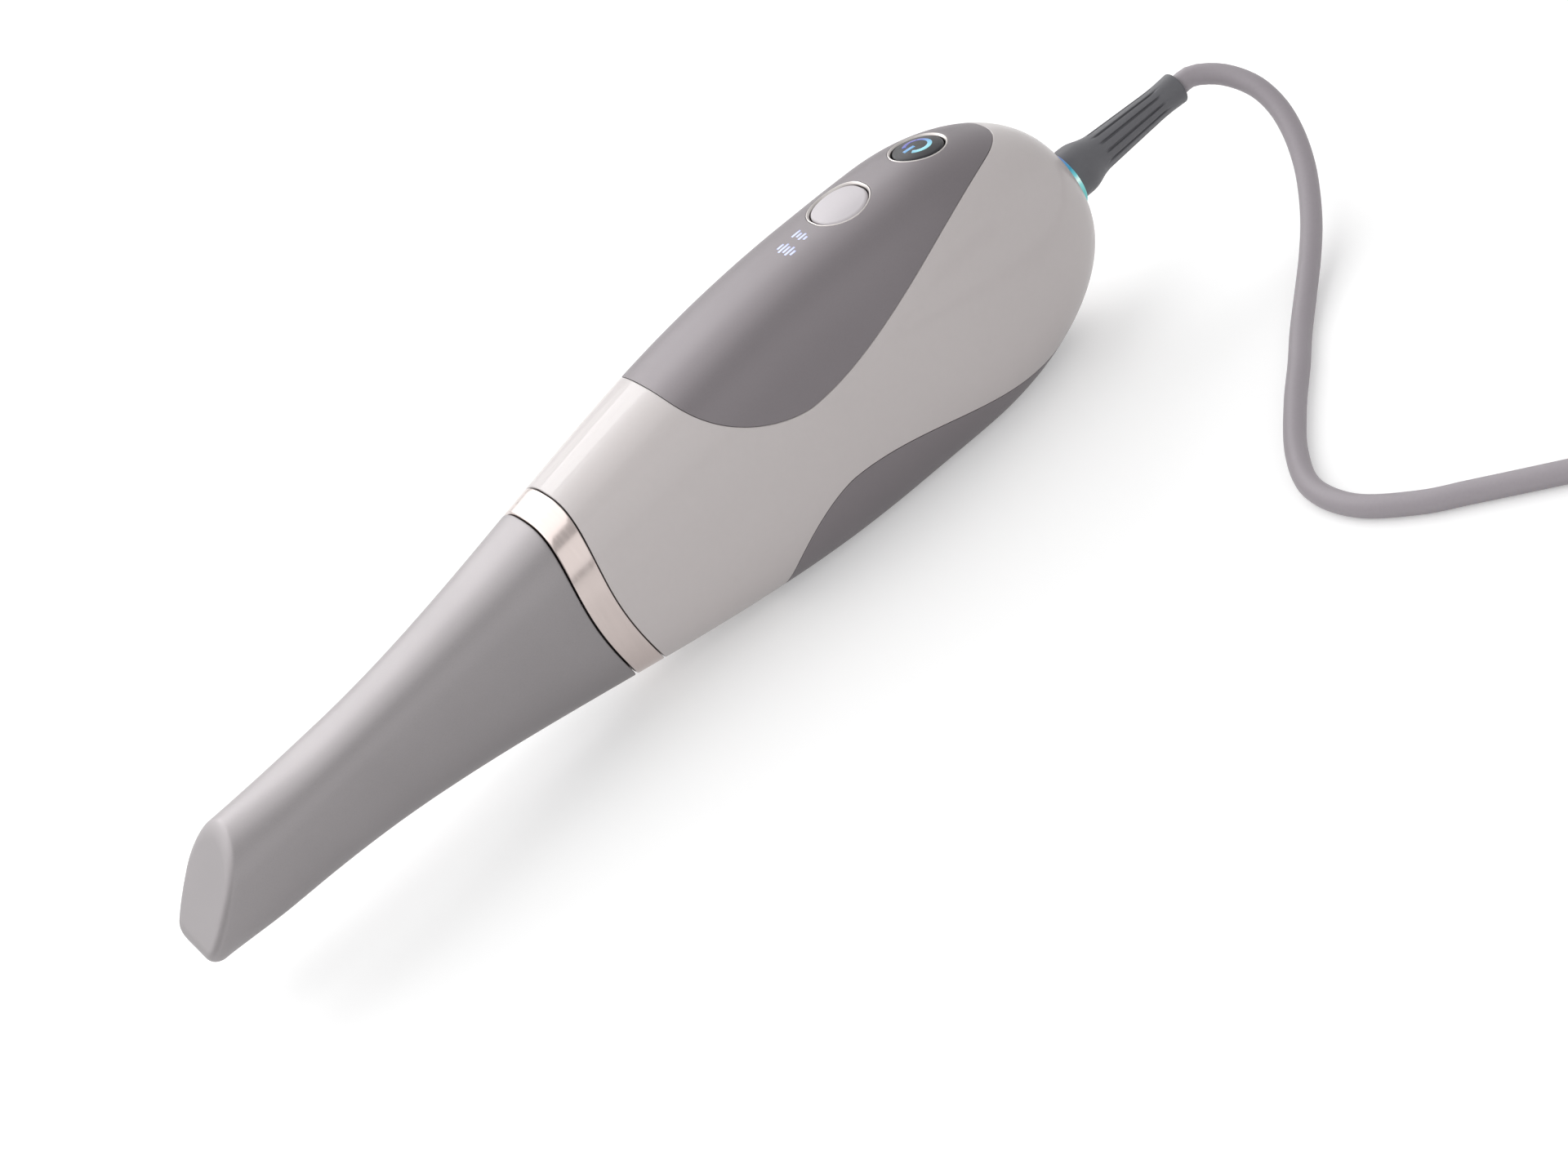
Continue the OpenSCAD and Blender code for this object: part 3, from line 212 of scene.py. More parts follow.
def top_h(x):
    return mix(REAR_R, flare(x, TIP_TOP, BODY_TOP, FLARE_TOP), dome(x, DOME_TOP))


def bottom_h(x):
    return mix(REAR_R, flare(x, TIP_BOTTOM, BODY_BOTTOM, FLARE_BOTTOM), dome(x, DOME_BOTTOM))


def half_w(x):
    return mix(REAR_R, flare(x - SIDE_LAG, TIP_SIDE, BODY_SIDE, FLARE_SIDE), dome(x, DOME_SIDE))


def exponent(x, tip, grip):
    return mix(2, mix(tip, grip, np.clip((x - GRIP_FROM) / GRIP_RUN, 0, 1)), dome(x, DOME_SIDE))


def outer(x, angle, inset=0.0):
    """A point of the outer surface. The angle is 0 at the near side and a quarter turn on top."""
    x = np.asarray(x, float) + 0 * np.asarray(angle, float)
    c, s = np.cos(angle), np.sin(angle)
    up = s >= 0
    high = mix(END_TOP_EXP, TOP_EXPS[0], smooth((x - END_FROM) / END_TOP_RUN))
    low = mix(END_BOTTOM_EXP, BOTTOM_EXPS[0], smooth(x / END_BOTTOM_RUN))
    p = np.where(up, exponent(x, high, TOP_EXPS[1]), exponent(x, low, BOTTOM_EXPS[1]))
    h = np.where(up, top_h(x), bottom_h(x)) - inset
    r = (np.abs(c) ** p + np.abs(s) ** p) ** (-1 / p)
    z = AXIS_Z + h * r * s
    z = np.where(z < BELLY_H, inset + 0.5 * (z - inset + np.sqrt((z - inset) ** 2 + BELLY_SOFT)), z)
    return np.stack([x, -(half_w(x) - inset) * r * c, z], -1)


def end_x(x, h):
    """The tip's end at a height from the axis, a slanted face on a round lower edge, fading out along x."""
    face = TIP_EDGE_R * (1 - math.sqrt(0.5)) + h - FACE_H
    edge = TIP_EDGE_R - np.sqrt(np.maximum(TIP_EDGE_R ** 2 - (h - EDGE_MID) ** 2, 0))
    return x + np.maximum(0, 1 - x / SLANT_RUN) * (np.where(h > FACE_H, face, edge) - TIP_REACH)


def station(x, angle, inset=0.0):
    """The same on a station that follows the tip's end and bows at the seam."""
    x = np.asarray(x, float) + 0 * np.asarray(angle, float)
    h = outer(x, angle, inset)[..., 2] - AXIS_Z
    bow = BOW * smooth((x - BOW_FROM) / (SEAM_X - BOW_FROM))
    bow = bow * (1 - smooth((x - HOUSING_X) / (COVER_FRONT - HOUSING_X)))
    return outer(end_x(x, h) + bow * (h / BOW_H) ** 2, angle, inset)


DOME_START = BODY_LEN - DOME_SIDE


def body_x(u):
    """Distance along the body from a measure that is even over the rear dome."""
    over = np.clip((u - DOME_START) / DOME_SIDE, 0, 1) * math.pi / 2
    return np.where(u < DOME_START, u, DOME_START + DOME_SIDE * np.sin(over))


def body_surface(uv):
    """Points and normals of the body at (u, angle)."""
    u, v = uv[:, 0], uv[:, 1]
    du, dv = 0.05, 0.002
    high = np.minimum(u + du, BODY_LEN)
    along = station(body_x(high), v) - station(body_x(high - 2 * du), v)
    across = station(body_x(u), v + dv) - station(body_x(u), v - dv)
    n = np.cross(along, across)
    return station(body_x(u), v), n / np.linalg.norm(n, axis=1, keepdims=True)


def surface_normal(points):
    """Normals of the body at points of its surface."""
    x, y, z = points.T
    h = np.where(z >= AXIS_Z, top_h(x), bottom_h(x))
    angle = np.arctan2((z - AXIS_Z) / h, -y / half_w(x))
    u = np.where(x < DOME_START, x, DOME_START + DOME_SIDE * np.arcsin(
        np.clip((x - DOME_START) / DOME_SIDE, 0, 1)) * 2 / math.pi)
    return body_surface(np.stack([u, angle], 1))[1]


class CoverEdge:
    """Boundary between the housing and one of its covers."""

    def __init__(self, side, height, exps, low, rear, run, rear_x):
        self.side, self.low, self.rear, self.run, self.rear_x = side, low, rear, run, rear_x
        self.height = height
        xs = np.concatenate([
            mix(COVER_FRONT, COVER_LOW, np.linspace(0, 1, 400) ** 2),
            mix(rear_x, COVER_LOW, np.linspace(1, 0, 700)[1:] ** 2)])
        h = np.minimum(self.edge_h(xs), height(xs))
        p = exponent(xs, *exps)
        y = half_w(xs) * np.clip(1 - (h / height(xs)) ** p, 0, 1) ** (1 / p)
        near = np.stack([xs, -y, AXIS_Z + side * h], 1)
        ring = np.concatenate([near, near[-2:0:-1] * [1, -1, 1]])
        gaps = np.linalg.norm(np.roll(ring, -1, 0) - ring, axis=1)
        far = np.concatenate([[0], np.cumsum(gaps)])
        even = np.linspace(0, far[-1], int(far[-1] / 0.2), endpoint=False)
        closed = np.concatenate([ring, ring[:1]])
        self.q = np.stack([np.interp(even, far, closed[:, k]) for k in range(3)], 1)
        t = np.roll(self.q, -2, 0) - np.roll(self.q, 2, 0)
        g = np.cross(t, surface_normal(self.q)) * side
        self.g = g / np.linalg.norm(g, axis=1, keepdims=True)
        self.tree = kdtree.KDTree(len(self.q))
        for i, q in enumerate(self.q):
            self.tree.insert(q, i)
        self.tree.balance()

    def edge_h(self, x):
        u = np.clip((COVER_LOW - x) / (COVER_LOW - COVER_FRONT), 0, 1)
        corner = 1 - (1 - u ** COVER_CORNER) ** (1 / COVER_CORNER)
        front = mix(self.low, self.height(COVER_FRONT), corner)
        return np.where(x < COVER_LOW, front, mix(self.low, self.rear, smooth((x - COVER_LOW) / self.run)))

    def distance(self, points):
        """Distance into the cover, and the way out of it, at points of the surface."""
        i = np.array([self.tree.find(p)[1] for p in points])
        away = points - self.q[i]
        near = -(away * self.g[i]).sum(1)
        length = np.linalg.norm(away, axis=1)
        x, _, z = points.T
        inside = (x > COVER_FRONT) & (x < self.rear_x) & (self.side * (z - AXIS_Z) > self.edge_h(x))
        return np.where(length < 1, near, np.where(inside, length, -length)), self.g[i]


def dome_reach(h, full, run):
    """Where the rear dome has fallen to a height."""
    return BODY_LEN - run + run * math.sqrt(1 - ((h - REAR_R) / (full - REAR_R)) ** 2)


# The covers' edges lie lowest at COVER_LOW and rise to COVER_REAR at the rear end
COVER_REAR = 24.0
top_edge = CoverEdge(1, top_h, TOP_EXPS, low=9.3, rear=COVER_REAR, run=64.0,
                     rear_x=dome_reach(COVER_REAR, BODY_TOP, DOME_TOP))
bottom_edge = CoverEdge(-1, bottom_h, BOTTOM_EXPS, low=11.0, rear=COVER_REAR, run=58.0,
                        rear_x=dome_reach(COVER_REAR, BODY_BOTTOM, DOME_BOTTOM))


class Ridge:
    """Local frame on the top line: x along it, y to the far side, z out of it."""

    def __init__(self, x):
        tilt = math.atan((top_h(x - 0.1) - top_h(x + 0.1)) / 0.2)
        self.at = np.array([x, 0, AXIS_Z + float(top_h(x))])
        c, s = math.cos(tilt), math.sin(tilt)
        self.axes = np.array([[c, 0, -s], [0, 1, 0], [s, 0, c]])

    def local(self, points):
        return (points - self.at) @ self.axes.T

    def world(self, points):
        return np.asarray(points) @ self.axes + self.at

    def fall(self, px, py):
        """Height of the body's surface in this frame."""
        z = 0 * px
        for _ in range(6):
            p = self.world(np.stack([px, py, z], -1))
            x, y = p[..., 0], p[..., 1]
            e = exponent(x, *TOP_EXPS)
            over = AXIS_Z + top_h(x) * (1 - np.clip(np.abs(y) / half_w(x), 0, 0.99) ** e) ** (1 / e)
            z = z + (over - p[..., 2]) * 0.9
        return z


SCAN_X, POWER_X, MARKS_X = 198.0, 220.0, 184.9
scan_ridge, power_ridge = Ridge(SCAN_X), Ridge(POWER_X)
SCAN_R, SCAN_MORE, POWER_R = 6.3, 0.7, 5.8  # the scan button is wider than round by SCAN_MORE each way
HOLE_MORE = 0.95


def hole_distance(ridge, radius, more, points):
    """Distance outside a button's hole, and the way into it."""
    p = ridge.local(points)
    q = np.maximum(np.abs(p[:, 1]) - more, 0) * np.sign(p[:, 1])
    d = np.maximum(np.hypot(p[:, 0], q), 1e-6)
    way = np.stack([-p[:, 0] / d, -q / d, 0 * d], 1) @ ridge.axes
    return np.where(p[:, 2] < -15, 99, d - radius), way


def cover_field(edge, holes):
    """A field that is positive on a cover and off its holes, with the way out of it."""
    def field(points, uv):
        f, g = edge.distance(points)
        f = f - SEAM_SHOWN
        for hole in holes:
            d, way = hole_distance(*hole, points)
            g = np.where((d < f)[:, None], way, g)
            f = np.minimum(f, d)
        return f, g

    return field


def housing_field(points, uv):
    """The same for the housing, between the ring and the covers."""
    f, g = uv[:, 0] - HOUSING_X, np.tile([-1.0, 0, 0], (len(points), 1))
    for edge in (top_edge, bottom_edge):
        d, way = edge.distance(points)
        g = np.where((-d < f)[:, None], -way, g)
        f = np.minimum(f, -d)
    return f, g


def split(uv, f, tris, level):
    """Splits the triangles that cross a level of f along it."""
    side = np.sign(np.where(np.abs(f - level) < 1e-7, 0, f - level))[tris]
    cross = (side.min(1) < 0) & (side.max(1) > 0)
    out, cut = [tris[~cross]], {}
    more_uv, more_f, count = [], [], len(f)
    new = []
    for tri, s in zip(tris[cross].tolist(), side[cross].tolist()):
        loop = []
        for k in range(3):
            a, b = tri[k], tri[(k + 1) % 3]
            loop.append((a, s[k]))
            if s[k] * s[(k + 1) % 3] < 0:
                key = (min(a, b), max(a, b))
                if key not in cut:
                    t = (level - f[key[0]]) / (f[key[1]] - f[key[0]])
                    more_uv.append(mix(uv[key[0]], uv[key[1]], t))
                    more_f.append(level)
                    cut[key] = count
                    count += 1
                loop.append((cut[key], 0))
        for sign in (-1, 1):
            part = [i for i, w in loop if w * sign >= 0]
            new += [(part[0], part[k], part[k + 1]) for k in range(1, len(part) - 1)]
    if new:
        out.append(np.array(new))
        uv, f = np.concatenate([uv, more_uv]), np.concatenate([f, more_f])
    return uv, f, np.concatenate(out)


def patch(name, us, angles, field, edge_r, thick, body, slot, replaced):
    """A closed shell on the body's surface where the field is positive, with rounded edges."""
    nu, nv = len(us), len(angles)
    uv = np.stack(np.meshgrid(us, angles, indexing="ij"), -1).reshape(-1, 2)
    a = (np.arange(nu - 1)[:, None] * nv + np.arange(nv - 1)).ravel()
    tris = np.concatenate([np.stack([a, a + nv, a + 1], 1), np.stack([a + 1, a + nv, a + nv + 1], 1)])
    f = field(body_surface(uv)[0], uv)[0]
    tris = tris[f[tris].max(1) > 0]
    for share in (0, 0.07, 0.25, 0.5, 0.75, 1):
        uv, f, tris = split(uv, f, tris, share * edge_r)
        tris = tris[f[tris].min(1) >= -1e-7] if share == 0 else tris
    points, n = body_surface(uv)
    used, tris = np.unique(tris, return_inverse=True)
    uv, f, points, n, tris = uv[used], f[used], points[used], n[used], tris.reshape(-1, 3)
    _, first, same = np.unique(np.round(points, 4), axis=0, return_index=True, return_inverse=True)
    uv, f, points, n, tris = uv[first], f[first], points[first], n[first], same.reshape(-1)[tris]
    tris = tris[(tris[:, 0] != tris[:, 1]) & (tris[:, 1] != tris[:, 2]) & (tris[:, 0] != tris[:, 2])]
    g = field(points, uv)[1]
    g = g - n * (g * n).sum(1, keepdims=True)
    g = g / np.maximum(np.linalg.norm(g, axis=1, keepdims=True), 1e-9)
    lean = np.clip((edge_r - f) / edge_r, 0, 1)[:, None]
    level = np.sqrt(1 - lean * lean)
    inner = points - n * thick
    shown = points - n * edge_r * (1 - level)
    normals = n * level + g * lean
    count = len(points)
    edges = {(t[k], t[(k + 1) % 3]) for t in tris.tolist() for k in range(3)}
    rims = [(i, j) for i, j in edges if (j, i) not in edges]
    faces = [tuple(t) for t in tris.tolist()] + [(c + count, b + count, a + count) for a, b, c in tris.tolist()]
    faces += [(j, i, i + count, j + count) for i, j in sorted(rims)]
    return add_piece(name, np.concatenate([shown, inner]), faces, body, slot, replaced,
                     np.concatenate([normals, -n]))


WALL = 1.8
body_us = np.concatenate([
    [HOUSING_X], np.arange(108, DOME_START, 1.2), DOME_START + DOME_SIDE * np.linspace(0, 1, 44)])
cover_us = body_us[(body_us > 138) & (body_us < 242)]
button_holes = [(scan_ridge, SCAN_R + HOLE_MORE, SCAN_MORE), (power_ridge, POWER_R + HOLE_MORE, 0.0)]
housing = patch("housing_shell", body_us, np.radians(np.arange(-90, 270.1, 2)), housing_field,
                HOUSING_EDGE, WALL, "handpiece", "warm_white", ["housing"])
top_cover = patch("top_cover_shell", cover_us, np.radians(np.arange(8, 172.1, 1.6)),
                  cover_field(top_edge, button_holes), SEAM_EDGE, WALL, "handpiece", "mauve_grey", ["top_cover"])
bottom_cover = patch("bottom_cover_shell", cover_us, np.radians(np.arange(188, 352.1, 1.6)),
                     cover_field(bottom_edge, []), SEAM_EDGE, WALL, "handpiece", "mauve_grey", ["bottom_cover"])

# Tip, with its window cut in the underside

TIP_ROUND, TIP_WALL, TIP_FLOOR = 2.4, 1.5, 2.4
LIP_ROUND, LIP_CUT = 0.45, 0.25
TIP_END = 0.02  # keeps the smooth end inside the CAD's facets
WINDOW_X, WINDOW_LEN, WINDOW_W, WINDOW_R = 3.6, 13, 14, 2
RING_ANGLES = np.linspace(0, 2 * math.pi, 160, endpoint=False)


def tip_loop(x, inset):
    return station(x + 0 * RING_ANGLES, RING_ANGLES, inset)


end_angles = np.radians(np.linspace(90, 0, 11))


def end_fill(x, ring, shares):
    """Smaller and smaller rings that close the tip's end along its own form."""
    middle = ring.mean(0)
    rings = []
    for s in shares:
        small = mix(middle, ring, s)
        small[:, 0] = end_x(x, small[:, 2] - AXIS_Z)
        rings.append(small)
    return rings


def tip_rings():
    rings = end_fill(TIP_END, tip_loop(TIP_END, TIP_ROUND), np.linspace(0.08, 0.97, 14))
    rings += [tip_loop(TIP_END + TIP_ROUND * (1 - math.sin(a)), TIP_ROUND * (1 - math.cos(a))) for a in end_angles]
    rings += [tip_loop(x, 0) for x in np.arange(3.2, 99.8, 1.6)]
    rings += [tip_loop(SEAM_X - LIP_ROUND * (1 - math.sin(a)), LIP_ROUND * (1 - math.cos(a)))
              for a in np.radians([0, 25, 50, 70, 90])]
    rings += [tip_loop(SEAM_X, TIP_WALL - LIP_CUT), tip_loop(SEAM_X - LIP_CUT, TIP_WALL)]
    inner = [tip_loop(x, TIP_WALL) for x in np.arange(96, 5, -4.0)]
    back = tip_loop(TIP_FLOOR, TIP_WALL)
    return rings + inner + [back] + end_fill(TIP_FLOOR, back, np.linspace(0.95, 0.1, 10))


tip = add_piece("tip_skin", *loft(tip_rings()), "tip", "satin_silver", ["tip_shell"])


def slot_ring(length, width, r, grow, x, z):
    """A rounded rectangle in a level plane, from its front end."""
    out = []
    for cx, cy, start in ((length - r, width / 2 - r, 0), (r, width / 2 - r, 90), (r, r - width / 2, 180),
                          (length - r, r - width / 2, 270)):
        for k in range(7):
            a = math.radians(start + 15 * k)
            out.append([x + cx + (r + grow) * math.cos(a), cy + (r + grow) * math.sin(a), z])
    return np.array(out)


def cut_window():
    floor = AXIS_Z - TIP_BOTTOM
    rings = [slot_ring(WINDOW_LEN, WINDOW_W, WINDOW_R, grow, WINDOW_X, floor + z)
             for z, grow in ((-1, 0.5), (0.1, 0.5), (0.6, 0), (4.5, 0))]
    cutter = add_piece("window_cutter", *loft(rings), "tip", "satin_silver")
    change = tip.modifiers.new("window", "BOOLEAN")
    change.operation = "DIFFERENCE"
    change.solver = "EXACT"
    change.object = cutter
    made = bpy.data.meshes.new_from_object(tip.evaluated_get(bpy.context.evaluated_depsgraph_get()))
    tip.modifiers.clear()
    tip.data = made
    bpy.data.objects.remove(cutter)
    made.shade_smooth()
    made.set_sharp_from_angle(angle=math.radians(38))


cut_window()

# Steel ring, and the nose that the tip slides on

RING_INSET, RING_EDGE = 1.85, 0.35


def collar_rings():
    bend = np.radians([90, 70, 45, 20, 0])
    front = [tip_loop(RING_X + RING_EDGE * (1 - math.sin(a)), RING_EDGE * (1 - math.cos(a))) for a in bend]
    rear = [tip_loop(RING_X + RING_W - RING_EDGE * (1 - math.sin(a)), RING_EDGE * (1 - math.cos(a)))
            for a in bend[::-1]]
    face = [tip_loop(RING_X + RING_W * s, 0) for s in (0.2, 0.35, 0.5, 0.65, 0.8)]
    return front + face + rear + [tip_loop(RING_X + RING_W, RING_INSET), tip_loop(RING_X, RING_INSET)]


collar = add_piece("collar_band", *loft(collar_rings(), wrap=True), "handpiece", "steel_ring", ["collar_ring"])

NOSE_X, NOSE_END, NOSE_INSET, NOSE_ROUND = 62.0, 113.0, 2.0, 1.4
window_lo, window_hi = (np.array(v) / MM + [ORIGIN_X, 0, 0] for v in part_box("nose_window"))
seal_hi = np.array(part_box("window_seal")[1]) / MM + [ORIGIN_X, 0, 0]
glass_r = (window_hi[2] - window_lo[2]) / 2 + 0.1


def nose_rings():
    def circle(x, r):
        return np.stack([x + 0 * RING_ANGLES, -r * np.cos(RING_ANGLES), AXIS_Z + r * np.sin(RING_ANGLES)], 1)

    bore = glass_r - 1
    rings = [circle(NOSE_END, bore), circle(seal_hi[0] + 0.1, bore), circle(seal_hi[0] + 0.1, glass_r),
             circle(NOSE_X + 0.25, glass_r), circle(NOSE_X, glass_r + 0.25)]
    for a in np.radians(np.linspace(90, 0, 8)):
        inset = NOSE_INSET + NOSE_ROUND * (1 - math.cos(a))
        rings.append(outer(NOSE_X + NOSE_ROUND * (1 - math.sin(a)), RING_ANGLES, inset))
    return rings + [outer(x, RING_ANGLES, NOSE_INSET) for x in np.linspace(66, NOSE_END, 16)]


nose = add_piece("nose_sleeve", *loft(nose_rings(), wrap=True), "handpiece", "dark_plastic", ["nose"])
nose.data.set_sharp_from_angle(angle=math.radians(40))


# Buttons, their rims, the lit symbol and the marks


def stadium_ring(radius, more, sides=96):
    a = np.linspace(0, 2 * math.pi, sides, endpoint=False) + math.pi / sides
    return radius * np.cos(a), radius * np.sin(a) + more * np.sign(np.sin(a))


CAP_EDGE, CAP_SINK = 0.7, 0.15
SCAN_CROWN, POWER_CROWN = 0.5, 0.35
FLANGE_MORE, FLANGE_LOW, FLANGE_HIGH = 1.5, -4.0, -3.1


def button_rings(ridge, radius, more, crown):
    """A cap with a soft crown, a rounded edge and the flange under its cover."""
    rings = []

    def ring(r, dz, follow=1.0, m=more):
        px, py = stadium_ring(r, m)
        rings.append(ridge.world(np.stack([px, py, follow * ridge.fall(px, py) + dz], -1)))

    for dz in (FLANGE_LOW, FLANGE_HIGH):
        ring(radius + FLANGE_MORE, dz, 0)
    for dz in (FLANGE_HIGH, -1.4):
        ring(radius, dz, 0)
    for a in np.radians(np.linspace(0, 90, 8)):
        ring(radius - CAP_EDGE * (1 - math.cos(a)), -CAP_SINK - CAP_EDGE * (1 - math.sin(a)))
    reach = radius - CAP_EDGE
    for s in np.linspace(0.93, 0.03, 14):
        ring(reach * s, -CAP_SINK + crown * (1 - s * s), 1.0, more * s)
    return rings


def bezel_rings(ridge, radius, more):
    """A thin rim that falls from the cover to the cap."""
    rings = []
    inner, lip, outer_r = radius + 0.3, radius + 0.68, radius + 0.9
    corners = [(inner, -1.2), (inner, -0.45), (lip, 0.07), (outer_r, -0.03), (outer_r, -1.2)]
    for r, dz in rounded(corners, 0.12, 4):
        px, py = stadium_ring(r, more)
        rings.append(ridge.world(np.stack([px, py, ridge.fall(px, py) + dz], -1)))
    return rings


scan_cap = add_piece("scan_cap", *loft(button_rings(scan_ridge, SCAN_R, SCAN_MORE, SCAN_CROWN)),
                     "scan_button", "pearl", ["scan_button"])
power_cap = add_piece("power_cap", *loft(button_rings(power_ridge, POWER_R, 0.0, POWER_CROWN)),
                      "power_button", "charcoal", ["power_button"])
scan_rim = add_piece("scan_rim", *loft(bezel_rings(scan_ridge, SCAN_R, SCAN_MORE), wrap=True),
                     "handpiece", "bright_rim", ["scan_bezel"])
power_rim = add_piece("power_rim", *loft(bezel_rings(power_ridge, POWER_R, 0.0), wrap=True),
                      "handpiece", "bright_rim", ["power_bezel"])


def ribbon(ridge, path, width, crown, sink, lift):
    """A slim rounded strip that follows the body's surface along a path in a ridge's frame."""
    path = np.asarray(path, float)
    t = np.gradient(path, axis=0)
    t /= np.linalg.norm(t, axis=1, keepdims=True)
    side = np.stack([-t[:, 1], t[:, 0]], 1)
    rings = []
    for at, out in zip(path, side):
        ring = []
        for a in np.radians(np.arange(0, 360, 30)):
            q = at + out * width / 2 * math.cos(a)
            h = crown * math.sin(a) if math.sin(a) > 0 else sink * math.sin(a)
            z = float(ridge.fall(np.array(q[0]), np.array(q[1]))) + lift(q) + h
            ring.append(ridge.world(np.array([q[0], q[1], z])))
        rings.append(ring)
    return loft(rings)


def join(parts):
    points, faces = [], []
    for p, f in parts:
        faces += [tuple(i + len(points) for i in face) for face in f]
        points += list(p)
    return points, faces


SYMBOL_R, SYMBOL_W, SYMBOL_UP = 2.85, 1.0, 0.01
MARK_W, MARK_STEP = 0.66, 1.25
# Each row of marks: its place along the body, its first bar's place across and its bars' lengths
MARK_ROWS = ((-2.5, -4.0, (1.5, 2.8, 2.1, 3.0, 1.8)), (2.0, -2.7, (1.1, 2.2, 1.5, 2.4)))


def cap_lift(q):
    """How far the power button's cap lies above the cover's surface."""
    s = min(math.hypot(*q) / (POWER_R - CAP_EDGE), 1)
    return -CAP_SINK + POWER_CROWN * (1 - s * s) + SYMBOL_UP


def symbol():
    """The general sign for power: an open ring with a bar in its gap."""
    arc = [[-SYMBOL_R * math.cos(a), SYMBOL_R * math.sin(a)] for a in np.radians(np.linspace(35, 325, 49))]
    bar = [[x, 0] for x in np.linspace(-3.5, -0.7, 7)]
    return join([ribbon(power_ridge, path, SYMBOL_W, 0.06, 0.2, cap_lift) for path in (arc, bar)])


power_mark = add_piece("power_mark", *symbol(), "power_button", "cyan_light", ["power_symbol"])


def marks():
    """Two rows of small lit bars, a plain level display, in front of the scan button."""
    ridge = Ridge(MARKS_X)

    def bar(x, y, length):
        path = [[x + length * s, y] for s in np.linspace(-0.5, 0.5, 5)]
        return ribbon(ridge, path, MARK_W, 0.04, 0.15, lambda q: 0.0)

    return join([bar(x, y + MARK_STEP * k, length)
                 for x, y, lengths in MARK_ROWS for k, length in enumerate(lengths)])


level_marks = add_piece("level_marks", *marks(), "handpiece", "pale_blue_light", ["indicator_lights"])

# Glowing ring and strain relief

LED_BACK, LED_R, LED_BORE = 245.4, 7.1, 4.6
led_corners = [(LED_BACK, 5.0), (LED_BACK, LED_R), (LED_FACE, LED_R), (LED_FACE, LED_BORE), (LED_BACK, LED_BORE)]
led_ring = add_piece("led_ring", *loft(lathe(rounded(led_corners, 0.4, 5)[1:], 120), wrap=True),
                     "handpiece", "blue_light", ["light_ring"])

RELIEF_END = 281.0
FOOT_R, NECK_R, WAIST_R, RELIEF_END_R = 6.0, 4.5, 3.5, 3.8
FOOT_TO, SHOULDER_TO, WAIST_AT = 4.3, 8.6, 28
GROOVES, GROOVE_DEEP, GROOVE_FROM, GROOVE_TO = 12, 0.6, 9, 26.5
RELIEF_ROUND, RELIEF_STEP = 432, 0.7
STEM_R = 3.4  # only what lies outside this radius has grooves


def relief_profile():
    """A foot, a shoulder and a stem, in short steps so that the grooves can start and end softly."""
    f = LED_FACE
    corners = [(f - 3, 2.5), (f - 3, 4.4), (f, NECK_R), (f, FOOT_R), (f + FOOT_TO, FOOT_R), (f + SHOULDER_TO, NECK_R),
               (f + WAIST_AT, WAIST_R), (RELIEF_END, RELIEF_END_R), (RELIEF_END, 2.55)]
    rough = rounded(corners, [0, 0, 0, 0.5, 1.4, 1.8, 4, 0.5, 0.2], 6)
    fine = []
    for p, q in zip(rough[:-1], rough[1:]):
        steps = max(1, int(np.linalg.norm(q - p) / RELIEF_STEP))
        fine += [mix(p, q, k / steps) for k in range(steps)]
    return fine + [rough[-1]]


def groove(x, r, angles):
    """Change of radius for the long grooves round the stem."""
    if r <= STEM_R:
        return 0 * angles
    s = x - LED_FACE
    run = smooth((s - GROOVE_FROM) / 2) * (1 - smooth((s - GROOVE_TO) / 2))
    phase = (angles * GROOVES / (2 * math.pi)) % 1 - 0.5
    return -GROOVE_DEEP * run * (1 - smooth((np.abs(phase) - 0.07) / 0.09))


relief = add_piece("relief_boot", *loft(lathe(relief_profile(), RELIEF_ROUND, groove), wrap=True),
                   "handpiece", "grey_rubber", ["strain_relief"])
relief.data.set_sharp_from_angle(angle=math.radians(50))

# Cord, coil and plug

CORD_D = 4.8
CORD_R = CORD_D / 2
EXIT = np.array([RELIEF_END - ORIGIN_X, 0, AXIS_Z])
# The cable's way from its exit: along, across, and its height from 0 on the floor to 1 at the exit
CORD_STEPS = [
    (0, 0, 1), (3.8, 0, 1), (7.2, -2.6, 0.965), (9.8, -7, 0.905), (11.2, -13, 0.81), (10.7, -19, 0.68),
    (8.3, -25, 0.54), (4.4, -31, 0.395), (-0.4, -36.5, 0.275), (-6, -42, 0.17), (-12.8, -48, 0.09), (-21, -55, 0.03),
    (-29, -62.3, 0), (-37.2, -71, 0), (-47, -81, 0), (-57, -93, 0), (-63, -105, 0), (-62.5, -118, 0), (-56, -130, 0),
    (-49, -138, 0), (-40, -148, 0), (-30, -159, 0), (-20, -170, 0)]
# The way from the coil to the plug: how far, and the height from 0 at the plug to 1 at the coil
TAIL_STEPS = ((0, 1), (6, 1), (18, 0.86), (32, 0.5), (46, 0.14), (58, 0), (66, 0))
LINE_STEP = 1.5
COIL_STEP, COIL_TURNS, COIL_R, COIL_Z, COIL_LAYERS = 5.4, 2.5, 33.0, 3.9, 4
COIL_POINTS = 48
PLUG_Z = 4.0
HEADING = math.radians(-48)
heading = np.array([math.cos(HEADING), math.sin(HEADING), 0])
coil_from = np.array([EXIT[0] - 11, -180, COIL_Z])
coil_middle = coil_from + CORD_D * heading + COIL_R * np.array([-heading[1], heading[0], 0])


